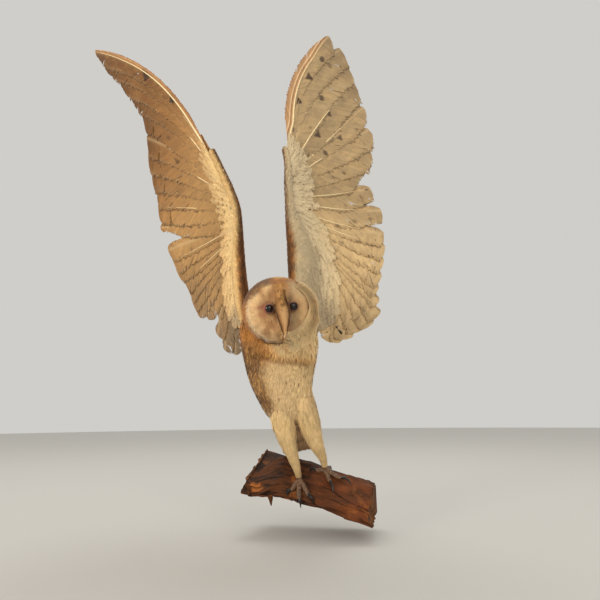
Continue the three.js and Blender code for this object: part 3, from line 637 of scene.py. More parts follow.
    # the golden line over the forehead, freckled, opening into the crown
    wide = lerp(3.4, 9.0, sm(8, 28, u))
    stripe = np.exp(-(l / wide) ** 2) * sm(-3, 8, u)
    fc = mix(fc, mix(lin((186, 130, 68)), lin((212, 160, 96)), sm(0.4, 0.6, n2)), 0.85 * stripe)
    fleck_f = sm(0.56, 0.66, noise(P, 1.7, 5)) * np.exp(-((l - 0.6) / (0.62 * wide)) ** 2) * sm(0, 6, u)
    fc = mix(fc, CROWN_D, 0.75 * fleck_f)
    fc = fc * (0.95 + 0.1 * n2)[:, None]
    cr = mix(CROWN, GOLD, sm(0.40, 0.60, n1))
    # the crown's upper part on the owl's right: darker crown feathers with painted shade
    dark_crown_and_shade = sm(-2, -13, l) * sm(4, 16, u)
    fleck = sm(0.52, 0.64, noise(P, 2.4, 31)) * (0.65 + 0.35 * dark_crown_and_shade)
    cr = mix(cr, CROWN_D, 0.8 * fleck)
    cr = mix(cr, lin((74, 50, 28)), 0.85 * dark_crown_and_shade * sm(0.35, 0.5, n2 + 0.16) * sm(-22, 4, f))
    cr = mix(cr, GREY, 0.35 * sm(0.55, 0.75, noise(P, 4.2, 33)))
    low = sm(16, -4, u)
    cr = mix(cr, mix(mix(lin((206, 136, 58)), ORANGE, sm(0.4, 0.6, n2)), PALE, sm(-8, 18, l)), 0.85 * low)
    cr = mix(cr, lin((212, 186, 136)), 0.85 * sm(12, 28, l) * sm(16, -2, u))
    lighter = sm(0.90, 0.97, q) * sm(6, -8, l) * sm(30, 10, u)
    hc = mix(fc, RIM, lighter * 0.95)
    top = sm(0.86, 0.97, q + 0.10 * (n2 - 0.5) + 0.05 * dark_crown_and_shade) * sm(7, 17, u) * lerp(1.0, 0.45, sm(4, 20, l))
    hc = mix(hc, mix(CROWN, CROWN_D, fleck * 0.7 + 0.45 * dark_crown_and_shade), 0.85 * top)
    ring = sm(0.995, 1.03, q)
    rc = mix(lin((190, 122, 54)), CROWN_D, sm(0.52, 0.66, noise(P, 2.0, 37)) * 0.7)
    rc = mix(rc, lin((72, 46, 26)), 0.7 * dark_crown_and_shade)
    rc = mix(rc, lin((64, 40, 22)), 0.75 * sm(-22, -29, u) * sm(20, 10, np.abs(l + 12)))
    rc = mix(rc, lin((216, 186, 136)), 0.95 * sm(2, 18, l) * sm(24, 12, u))
    rc = mix(rc, lin((186, 122, 66)), 0.8 * np.exp(-((l - 35) / 5) ** 2 - ((u - 12) / 5) ** 2))
    hc = mix(hc, rc, ring)
    hc = mix(hc, cr, sm(1.05, 1.12, q))
    hc = np.where((f < 0)[:, None], cr, hc)
    # wings, under side and upper side
    for side, rv, rd in (("l", R_WL_V, R_WL_D), ("r", R_WR_V, R_WR_D)):
        for under in (True, False):
            k = reg == (rv if under else rd)
            if not k.any():
                continue
            t, c_, p2, p5 = a[k], b[k], n1[k], n2[k]
            if under:
                wg = wings[side]
                # painted light and shade: the lining is lit and golden under one wing (r), shaded and greyer under the
                # other (l)
                base = LINING_R_LIT if side == "r" else LINING_L_SHADED
                w = mix(base, CREAM if side == "l" else lin((224, 184, 124)), 0.5 * sm(0.3, 0.75, p2))
                w = mix(w, lin((176, 156, 128)), 0.4 * sm(0.5, 0.7, p5) * (1.0 if side == "l" else 0.5))
                width = lerp(0.025, 0.085, sm(3.7, 5.0, t)) + (0.09 * sm(7.0, 8.3, t) if side == "r" else 0)
                lead = sm(1.25, 0.8, (c_ + 0.02 * (p5 - 0.5)) / width)
                spk = sm(0.48, 0.62, noise(P[k], 2.2, 41))
                band = mix(lin((190, 120, 52)), LEAD_D, 0.8 * spk)
                thin = lin((92, 56, 30)) if side == "r" else lin((176, 104, 48))
                w = mix(w, mix(thin, band, sm(3.6, 4.8, t)), 0.92 * lead)
                w = mix(w, LEAD_D, 0.85 * sm(0.045, 0.01, c_) * sm(9, 8, t))
                w = mix(w, mix(ORANGE, BROWN, 0.6 * spk), 0.8 * sm(7.4, 8.5, t) * (1.0 if side == "r" else 0.3))
                U_, V_ = wg.uv(P[k])
                w = mix(w, lin((92, 66, 44)), spots(wg, U_, V_, np.tile(A([[0.3, 0.95]]), (len(U_), 1))))
            else:
                w = mix(mix(MANTLE, lin((176, 128, 78)), p2), GREY, 0.9 * sm(0.40, 0.60, p5))
                w = mix(w, LEAD, 0.6 * sm(0.16, 0.08, c_))
                w = mix(w, mix(LEAD_D, LEAD, 0.35 * sm(0.4, 0.6, noise(P[k], 2.2, 41))), 0.85 * sm(0.028, 0.008, c_))
            col[k] = w * (0.94 + 0.12 * p5)[:, None]
    k = (reg == R_TRUNK) | (reg == R_NECK)
    col[k] = body_c[k]
    k = (reg == R_LEG_R) | (reg == R_LEG_L)
    col[k] = leg_c[k]
    k = reg == R_HEAD
    col[k] = hc[k]
    return col


skin_col = spread(marks(SV, REG, CA, CB), 2)

# the lie of the coat
hlv, huv, hfv = head_lu(SV)
hqv = rim_q(hlv, huv)
flow = np.zeros((len(SV), 3))
left, front = body_angle(CB)
k = (REG == R_TRUNK) | (REG == R_NECK)
flow[k] = -ZUP + 0.12 * (BL * left[k][:, None] + BF * front[k][:, None]) - 0.25 * BF * sm(0, -1, front[k])[:, None]
for side, reg in (("r", R_LEG_R), ("l", R_LEG_L)):
    k = REG == reg
    T = A(LEG[side], float)[:, :3]
    flow[k] = unit(along(T, np.minimum(6, CA[k] + 0.2)) - along(T, np.maximum(0, CA[k] - 0.2)))
k = REG == R_HEAD
s = np.where(hlv >= 0, 1, -1)
rl, ru = hlv - s * EYE["side"], huv - EYE["up"]
rn = np.maximum(np.hypot(rl, ru), 1e-6)
dl, du = rl / rn, ru / rn
mid = np.exp(-(hlv / 5.5) ** 2)
dl = dl * (1 - mid) + s * 0.35 * mid
du = du * (1 - mid) + np.where(huv > 0, 1.0, -1.0) * mid
face_d = HL * dl[:, None] + HU * du[:, None]
back_d = -HF + 0.10 * (HL * np.sign(hlv)[:, None]) - 0.45 * ZUP * sm(25, -10, huv)[:, None]
wf = sm(1.10, 0.98, hqv) * sm(-4, 4, hfv)
hd = face_d * wf[:, None] + unit(back_d) * (1 - wf)[:, None]
flow[k] = hd[k]
for side, rv, rd in (("l", R_WL_V, R_WL_D), ("r", R_WR_V, R_WR_D)):
    w = wings[side]
    roots = A(w.s["roots"])
    dirs = A([unit(w.curve(i)[8] - w.curve(i)[0]) for i in range(w.N)])
    for reg in (rv, rd):
        k = REG == reg
        t, c = CA[k], CB[k]
        d = np.stack([np.interp(t, roots, dirs[:, j]) for j in (0, 1)], 1)
        ld = unit(along(w.s["lead"], np.maximum(t - 0.3, 0)) - along(w.s["lead"], np.minimum(t + 0.3, 9)))
        d = unit(unit(d) * (0.35 + c)[:, None] + ld * (0.75 * (1 - c))[:, None])
        body_pull = sm(6.2, 8.6, t)[:, None]
        v = w.e1 * d[:, :1] + w.e2 * d[:, 1:]
        flow[k] = v * (1 - body_pull) - ZUP * body_pull
flow = spread(unit(flow), 8)
flow = unit(flow - SN * dot(flow, SN)[:, None])

# coat: length, width, spacing and standing height of the tufts, in mm
LEN, WID, GAPS, HGT = (np.zeros(len(SV)) for _ in range(4))


def put(k, length, width, gap, height):
    for X, v in ((LEN, length), (WID, width), (GAPS, gap), (HGT, height)):
        X[k] = v[k] if isinstance(v, np.ndarray) else v


z = SV[:, 2]
put(REG == R_TRUNK, lerp(8.0, 10.5, sm(170, 110, z)), 2.9, 1.6, 1.7)
put(REG == R_NECK, 7.0, 2.6, 1.45, 1.8)
put(REG == R_HEAD, lerp(6.5, 8.5, sm(0, -30, hfv)), 2.5, 1.45, 1.7)
k = (REG == R_HEAD) & (hfv > 0) & (hqv < 1.12)
put(k, 5.2, 1.8, 1.10, 1.7)
# the side of the neck stands out loose beside the disc
side_n = np.exp(-(((SV - on_head(23, -27, 2)) / A([18, 22, 20])) ** 2).sum(1))
flank_n = sm(0.2, 0.8, body_angle(CB)[0]) * sm(128, 160, z) * sm(212, 190, z)
k = ((REG == R_NECK) | (REG == R_TRUNK) | ((REG == R_HEAD) & (hqv > 1.0)))
LEN[k] += 6.0 * side_n[k] + 2.0 * flank_n[k]
HGT[k] += 6.5 * side_n[k] + 2.2 * flank_n[k]
GAPS[k] *= 1 - 0.15 * side_n[k]
lf_, fr_ = body_angle(CB)
zf = z - lerp(158, 152, sm(-0.8, 0.8, lf_)) + 3.5 * np.exp(-((lf_ + 0.05) / 0.35) ** 2)
k = ((REG == R_NECK) | (REG == R_TRUNK)) & (fr_ > 0)
HGT[k] += (2.6 * np.exp(-((zf[k] - 7) / 6.0) ** 2) - 0.9 * np.exp(-((zf[k] + 3) / 3.0) ** 2)) * sm(0.0, 0.5, fr_[k]) * sm(1.0, 0.6, np.abs(lf_[k]))
deye = np.minimum(np.hypot(hlv - 13.2, huv - 1.5), np.hypot(hlv + 13.2, huv - 1.5))
k = (REG == R_HEAD) & (hfv > 0) & (hqv < 0.985)
put(k, lerp(2.1, 4.8, sm(6, 18, deye)), lerp(0.7, 1.25, sm(6, 20, deye)), lerp(0.62, 0.92, sm(6, 20, deye)), lerp(0.45, 1.1, sm(6, 18, deye)))
for side, reg in (("r", R_LEG_R), ("l", R_LEG_L)):
    q = sm(1.5, 5.6, CA)
    put(REG == reg, lerp(9.5, 4.4, q), lerp(2.2, 1.1, q), lerp(1.55, 0.95, q), lerp(1.7, 0.7, q))
for reg in (R_WL_V, R_WR_V):
    put(REG == reg, lerp(6.5, 14.5, sm(0.0, 0.8, CB)) * lerp(0.75, 1.1, sm(0, 4, CA)), 2.3, 1.5, lerp(1.0, 1.8, sm(0, 4, CA)))
for reg in (R_WL_D, R_WR_D):
    put(REG == reg, lerp(5.0, 10.5, sm(0.0, 0.8, CB)) * lerp(0.75, 1.1, sm(0, 4, CA)), 3.2, 1.75, 1.3)
for reg in (R_LEG_R, R_LEG_L):
    k = REG == reg
    HGT[k] += 1.7 * np.exp(-((CA[k] - 1.5) / 0.7) ** 2) + 1.1 * (noise(SV[k], 8.0, 19) - 0.4)
    LEN[k] += 1.5 * np.exp(-((CA[k] - 1.5) / 0.7) ** 2)
soft4 = spread(np.stack([LEN, WID, GAPS, HGT], 1), 3)
k = ~((REG == R_HEAD) & (hfv > 0) & (hqv < 0.985))
LEN[k], WID[k], GAPS[k], HGT[k] = soft4[k].T

# --------------------------------------------------------------------- the coat
rng = np.random.default_rng(20)
bvh = BVHTree.FromPolygons([tuple(p) for p in SV], [tuple(int(x) for x in f) for f in ST])


def morton(P):
    q = ((P - P.min(0)) / 1.3).astype(np.int64)
    code = np.zeros(len(P), np.int64)
    for bit in range(9):
        for ax in range(3):
            code |= ((q[:, ax] >> bit) & 1) << (3 * bit + ax)
    return code


order = np.argsort(morton((TA + TB + TC) / 3), kind="stable")


def sample(face_ok, mult):
    """Even scatter over the chosen faces: points with all the fields of the skin."""
    w = face_area * face_ok / np.maximum(GAPS[ST].mean(1), 0.4) ** 2 * mult
    w = w[order]
    cum = np.cumsum(w) + rng.random()
    cnt = np.floor(cum).astype(int) - np.floor(cum - w).astype(int)
    f = np.repeat(order, cnt)
    r1, r2 = rng.random(len(f)), rng.random(len(f))
    r1, r2 = np.where(r1 + r2 > 1, 1 - r1, r1), np.where(r1 + r2 > 1, 1 - r2, r2)
    W = np.stack([1 - r1 - r2, r1, r2], 1)
    ix = ST[f]

    def at(X):
        return (X[ix] * (W[..., None] if X.ndim == 2 else W)).sum(1)

    j = ix[np.arange(len(f)), W.argmax(1)]
    P = at(SV)
    return dict(P=P, N=unit(at(SN)), D=unit(at(flow)), L=at(LEN), W=at(WID), H=at(HGT), col=at(skin_col),
                reg=REG[j], a=CA[j], b=CB[j], n=len(f))


def settle(Q, N0, h):
    """Points Q moved to height h over the skin, with the skin's normal there."""
    out, nn = np.empty_like(Q), np.empty_like(Q)
    for i, p in enumerate(Q):
        loc, no, _, _ = bvh.find_nearest(p)
        out[i] = loc
        nn[i] = no
    sgn = np.sign((nn * N0).sum(1))
    nn = nn * np.where(sgn == 0, 1, sgn)[:, None]
    nn = unit(nn + 0.6 * N0)
    return out + nn * h[:, None], nn


def tufts(S, B, K, jit=0.10, spread_w=1.0, curl=0.0, taper=0.32, rootsink=0.35, tiltn=0.32, blade_w=0.62, tip_h=1.0):
    """Small soft feathers of B blades with K steps each, lying along the skin. Returns V, F, normals, t, a, s and
    shape.
    """
    n = S["n"]
    D = S["D"] + rng.normal(0, jit, (n, 3))
    D = unit(D - S["N"] * dot(D, S["N"])[:, None])
    L = S["L"] * rng.uniform(0.82, 1.15, n)
    Hh = S["H"] * rng.uniform(0.75, 1.2, n)
    if "path" in S:                                                   # tufts that lie on something other than the skin
        Pm, Nm, Pt, Nt = S["path"](L, Hh)
    else:
        Pm, Nm = settle(S["P"] + D * (0.5 * L)[:, None], S["N"], 0.62 * Hh)
        Pt, Nt = settle(S["P"] + D * L[:, None], S["N"], Hh * tip_h)
    P0 = S["P"] - S["N"] * rootsink
    bl = np.linspace(-1, 1, B) if B > 1 else A([0.0])
    a = np.broadcast_to(bl, (n, B)) + rng.normal(0, 0.16, (n, B))
    t1 = np.clip(1 - taper * a * a, 0.45, 1) * (1 + rng.normal(0, 0.07, (n, B)))
    k = np.arange(K + 1) / K
    t = t1[..., None] * k                                           # n, B, K+1
    q0, q1, q2 = 2 * t * t - 3 * t + 1, 4 * t - 4 * t * t, 2 * t * t - t
    e = lambda X: X[:, None, None, :]
    C = e(P0) * q0[..., None] + e(Pm) * q1[..., None] + e(Pt) * q2[..., None]
    T = e(P0) * (4 * t - 3)[..., None] + e(Pm) * (4 - 8 * t)[..., None] + e(Pt) * (4 * t - 1)[..., None]
    tt = np.clip(t, 0, 1)[..., None]
    N = np.where(tt < 0.5, e(S["N"]) * (1 - 2 * tt) + e(Nm) * 2 * tt, e(Nm) * (2 - 2 * tt) + e(Nt) * (2 * tt - 1))
    N = unit(N)
    Sd = unit(np.cross(N, unit(T)))
    Wd = (S["W"] * rng.uniform(0.85, 1.15, n))[:, None, None] * spread_w
    lat = a[..., None] * Wd / 2 * (0.14 + 0.86 * sm(0, 0.55, t)) + curl * rng.normal(0, 1, (n, B, 1)) * t * t
    C = C + Sd * lat[..., None] - N * (0.10 * Wd * a[..., None] ** 2 * sm(0, 0.5, t))[..., None]
    prof = np.interp(k, [0, 0.35, 0.7, 1], [0.5, 1.0, 0.86, 0.0])
    hw = Wd / max(B, 1) * blade_w * prof
    roll = (0.25 * a + rng.normal(0, 0.22, (n, B)))[..., None]
    off = (Sd + N * roll[..., None]) * hw[..., None]
    Lp, Rp = C[:, :, :-1] - off[:, :, :-1], C[:, :, :-1] + off[:, :, :-1]
    V = np.concatenate([np.stack([Lp, Rp], 3).reshape(n, B, 2 * K, 3), C[:, :, -1:]], 2)
    nn = unit(N + Sd * (tiltn * a[..., None] + 0.12 * rng.normal(0, 1, (n, B, 1)))[..., None])
    NN = np.concatenate([np.repeat(nn[:, :, :-1], 2, 2), nn[:, :, -1:]], 2)
    tv = np.concatenate([np.repeat(t[:, :, :-1], 2, 2), t[:, :, -1:]], 2)
    sv = np.concatenate([np.tile(A([-1.0, 1.0]), K), [0.0]])
    m = 2 * K + 1
    base = (np.arange(n * B) * m)[:, None, None]
    kk = np.arange(K - 1)[None, :, None]
    quad = (base + 2 * kk + A([0, 2, 3, 1])[None, None, :]).reshape(-1, 4)
    tri = (base[:, 0] + A([2 * K - 2, 2 * K, 2 * K - 1])[None, :]).reshape(-1, 3)
    return dict(V=V.reshape(-1, 3), F=[quad, tri], N=NN.reshape(-1, 3), t=tv, a=np.broadcast_to(a[..., None], tv.shape),
                s=np.broadcast_to(sv, tv.shape), shape=(n, B, m))


def tuft_uv(root, G):
    """A patch 0.003 across at each tuft's root."""
    n, B, m = G["shape"]
    x = root[:, None, None, 0] + 0.0013 * np.clip(G["a"], -1.2, 1.2) + 0.0003 * G["s"]
    y = root[:, None, None, 1] + 0.003 * (G["t"] - 0.5)
    return np.stack([x, y], -1).reshape(-1, 2)


def chart(S):
    """Place of each root on an unwrap of the skin's own shape."""
    uv = np.zeros((S["n"], 2))
    reg, a, b = S["reg"], S["a"], S["b"]
    k = reg == R_TRUNK
    uv[k] = np.c_[0.02 + 0.96 * (b[k] / (2 * np.pi)), 0.02 + 0.78 * a[k] / 8]
    k = reg == R_NECK
    uv[k] = np.c_[0.02 + 0.96 * (b[k] / (2 * np.pi)), 0.84 + 0.14 * a[k] / 3]
    k = reg == R_HEAD
    l, u, f = head_lu(S["P"][k])
    r = np.hypot(l, u)
    th_ = np.arctan2(r, f) / np.pi
    uv[k] = np.c_[0.5 + 0.48 * th_ * l / np.maximum(r, 1e-6), 0.5 + 0.48 * th_ * u / np.maximum(r, 1e-6)]
    for rr, x0 in ((R_LEG_R, 0.02), (R_LEG_L, 0.52)):
        k = reg == rr
        uv[k] = np.c_[x0 + 0.46 * b[k] / (2 * np.pi), 0.02 + 0.96 * a[k] / 6]
    k = reg >= R_WL_V
    uv[k] = np.c_[0.02 + 0.96 * a[k] / 9, 0.02 + 0.96 * b[k]]
    return uv


def paint(S, G, var=0.09, blade=0.05, root=0.90, tone=None):
    """Colour of every vertex: the tuft's own colour, with light and dark barbs and a darker root."""
    n, B, m = G["shape"]
    c = S["col"] * (1 + rng.normal(0, var, (n, 1))) * (1 + rng.normal(0, 0.012, (n, 3)))
    c = c[:, None, None, :] * (1 + rng.normal(0, blade, (n, B, 1, 1)))
    g = lerp(root, 1.02, sm(0.0, 0.6, G["t"]))
    c = np.broadcast_to(c * g[..., None], (n, B, m, 3)).copy()
    if tone is not None:
        c = tone(S, G, c)
    return np.clip(c, 0, 1).reshape(-1, 3)


def coat_piece(name, face_ok, mult, B, K, mat, slot, var=0.09, tone=None, S=None, **kw):
    S = sample(face_ok, mult) if S is None else S
    G = tufts(S, B, K, **kw)
    ob = mesh_object(name, G["V"], G["F"], paint(S, G, var, tone=tone), tuft_uv(chart(S), G), G["N"], mat)
    tri = sum(len(f) * (f.shape[1] - 2) for f in G["F"])
    print("coat", name, "tufts", S["n"], "triangles", tri)
    return ob

# ------------------------------------------------------------- vaned feathers
def vane(curve, w_in, w_out, lift, rows, tip_in=1.2, base=0.03, angle=(45, 30), cols=(6, 4), ragged=0.05, splits=2,
         seed=0, notch=0.0, gap=0.16, sheets=(-1, 1), dish=0.0, tip_s=None, tip_e=0.45, fringe=(0.0, 0.0), tip_out=1.0):
    """One feather lying in a wing's or tail's own (u, v) plane.

    curve (n,2) is the shaft; w_in, w_out are half widths over s; the rows of the
    grid run along the barbs. Returns uv (m,2), h, s, signed offset, sheet, faces."""
    r = np.random.default_rng(seed)
    n = len(curve)
    seg = np.hypot(*np.diff(curve, axis=0).T)
    arc = np.r_[0, np.cumsum(seg)]
    L = arc[-1]
    s_of = arc / L
    tan = np.gradient(curve, s_of, axis=0)
    tan = tan / np.hypot(tan[:, 0], tan[:, 1])[:, None]
    ss = np.linspace(0, 1, 60)
    out = []
    verts, hs, sv, ov, shv, faces, barb = [], [], [], [], [], [], []
    count = 0
    streak = r.normal(0, 1, rows)
    for sign, width, ang, nc in ((1, w_in, angle[0], cols[0]), (-1, w_out, angle[1], cols[1])):
        wmean = float(np.mean(width(ss[10:50])))
        s0 = 1 - min(0.6, tip_in * max(wmean, 2.5) * (tip_out if sign < 0 else 1.0) / L)

        def wd(s):
            x = np.clip((s - s0) / (1 - s0), 0, 1)
            k = np.sqrt(np.maximum(1 - x ** 2.2, 0))
            if sign > 0 and tip_s is not None:
                k = np.clip((1 - s) / (1 - tip_s), 0, 1) ** tip_e
            return width(s) * k * sm(0, 0.05, s) * (1 - notch * (sign > 0) * sm(0.62, 0.98, s))

        sk = base + (0.997 - base) * (np.arange(rows) / (rows - 1)) ** 0.96
        se = sk.copy()
        cot = 1 / math.tan(rad(ang))
        for _ in range(4):
            se = np.minimum(sk + cot * wd(se) / L, 1.0)
        tc = np.linspace(0, 1, nc + 1) ** 0.9
        jit = 1 + r.normal(0, ragged, rows) * sm(0, 0.1, sk)
        S = sk[:, None] + (se - sk)[:, None] * tc[None, :] ** 1.15
        O = wd(se)[:, None] * tc[None, :] * np.where(tc > 0.99, jit[:, None], 1 + 0.25 * (jit[:, None] - 1))
        keep = np.ones((rows - 1, nc), bool)
        for _ in range(r.poisson(splits)):
            r0 = int(r.uniform(0.15, 0.95) * (rows - 6)) + 2
            t0, g = r.uniform(0.25, 0.7), r.uniform(0.6, 2.4) / L
            for dr in range(-6, 7):
                j = r0 + dr + (1 if dr >= 0 else 0)
                if 0 <= j < rows:
                    k = np.exp(-abs(dr) / 2.5) * g * (1 if dr >= 0 else -1)
                    S[j] += k * np.clip((tc - t0) / (1 - t0), 0, 1) ** 1.3
            c0 = int(np.argmax(tc >= t0))
            if 0 <= r0 < rows - 1 and 0 < c0 < nc:
                keep[r0, c0:] = False
                S[r0, c0] = S[r0 + 1, c0] = 0.5 * (S[r0, c0] + S[r0 + 1, c0])
        loose = r.random(rows - 1)                                  # barbs that have come apart at the edge
        keep[:, -1] &= loose > fringe[sign < 0]
        if nc > 4:
            keep[:, -2] &= loose > 0.35 * fringe[sign < 0]
        S = np.clip(S, 0, 1)
        cu = np.stack([np.interp(S, s_of, curve[:, j]) for j in (0, 1)], -1)
        tn = np.stack([np.interp(S, s_of, tan[:, j]) for j in (0, 1)], -1)
        side = np.stack([-tn[..., 1], tn[..., 0]], -1)
        P = cu + side * (sign * O)[..., None]
        h0 = lift(S, sign * O, sign * tc[None, :] + 0 * S)
        h0 = h0 + 0.10 * streak[:, None] * tc[None, :] - dish * (O ** 2) / max(wmean, 1) ** 2
        m = nc + 1
        q = grid_faces(rows, m)
        q = q[keep.ravel()]
        top = None
        for sh in sheets:
            verts.append(P.reshape(-1, 2))
            hs.append((h0 + sh * gap * lerp(1, 0.35, tc)[None, :]).ravel())
            sv.append(S.ravel())
            barb.append(np.repeat(sk * L + 977.0 * (sign < 0), m))
            ov.append((sign * O).ravel())
            shv.append(np.full(P.shape[0] * P.shape[1], sh))
            flip = (sh * sign) > 0
            faces.append((q if flip else q[:, ::-1]) + count)
            if top is not None:                                  # close the free edge
                e = np.arange(rows - 1) * m + nc
                f = np.stack([e + top, e + m + top, e + m + count, e + count], 1)
                faces.append(f[keep[:, -1]] if flip else f[keep[:, -1]][:, ::-1])
            top = count
            count += P.shape[0] * P.shape[1]
    return dict(uv=np.concatenate(verts), h=np.concatenate(hs), s=np.concatenate(sv), o=np.concatenate(ov),
                sheet=np.concatenate(shv), F=np.concatenate(faces), L=L, row=rows, barb=np.concatenate(barb))


def rachis(curve, r0, r1, h, s0=0.0, s1=0.97, sides=6, n=36):
    """The raised shaft of a feather as rings in (u, v, h)."""
    seg = np.hypot(*np.diff(curve, axis=0).T)
    arc = np.r_[0, np.cumsum(seg)]
    s_of = arc / arc[-1]
    s = np.linspace(s0, s1, n)
    c = np.stack([np.interp(s, s_of, curve[:, j]) for j in (0, 1)], -1)
    t = np.gradient(c, axis=0)
    t = t / np.hypot(t[:, 0], t[:, 1])[:, None]
    side = np.stack([-t[:, 1], t[:, 0]], -1)
    r = lerp(r0, r1, (s - s0) / (s1 - s0)) * np.minimum(1, 8 * (1.0 - s) + 0.3)
    a = 2 * np.pi * np.arange(sides) / sides + 0.3
    P = c[:, None] + side[:, None] * (r[:, None] * np.cos(a))[..., None]
    H = h(s)[:, None] + 1.05 * r[:, None] * np.sin(a)
    return P, H, s


def feather_dir(curve, s):
    """Unit direction of a shaft curve at fractional stations s."""
    t = np.gradient(curve, axis=0)
    t = t / np.hypot(t[:, 0], t[:, 1])[:, None]
    x = np.linspace(0, 1, len(curve))
    return np.stack([np.interp(s, x, t[:, j]) for j in (0, 1)], -1)


SHAFT_IN = dict(l={0: 9.3, 3: 6.0, 4: 6.5}, r={0: 2.6})          # how far a shaft lies inside its feather's middle line
SHOWN = dict(l={0: (0.0, 0.97, 1.25), 3: (0.0, 0.55, 1.2), 4: (0.45, 0.9, 0.9), 5: (0.0, 0.3, 1.0), 8: (.1, .8, .8), 9: (.15, .8, .75), 10: (.2, .75, .7), 11: (.1, .6, .7)},
             r={0: (0.0, 0.95, 1.2), 3: (0.05, 0.25, 0.9), 6: (.1, .3, .7), 9: (.5, .97, .6), 12: (.1, .8, .6), 14: (.1, .6, .6)})


def shaft_curve(w, i):
    c = w.curve(i)
    d = SHAFT_IN[w.side].get(i, 0.0)
    if d:
        t = np.gradient(c, axis=0)
        t = t / np.hypot(t[:, 0], t[:, 1])[:, None]
        s = np.linspace(0, 1, len(c))
        k = sm(0.02, 0.2, s) * (1 - 0.85 * sm(0.72, 1.0, s)) if i == 0 else np.sin(np.pi * s ** 0.85)
        c = c + np.stack([-t[:, 1], t[:, 0]], -1) * (d * k)[:, None]
    return c


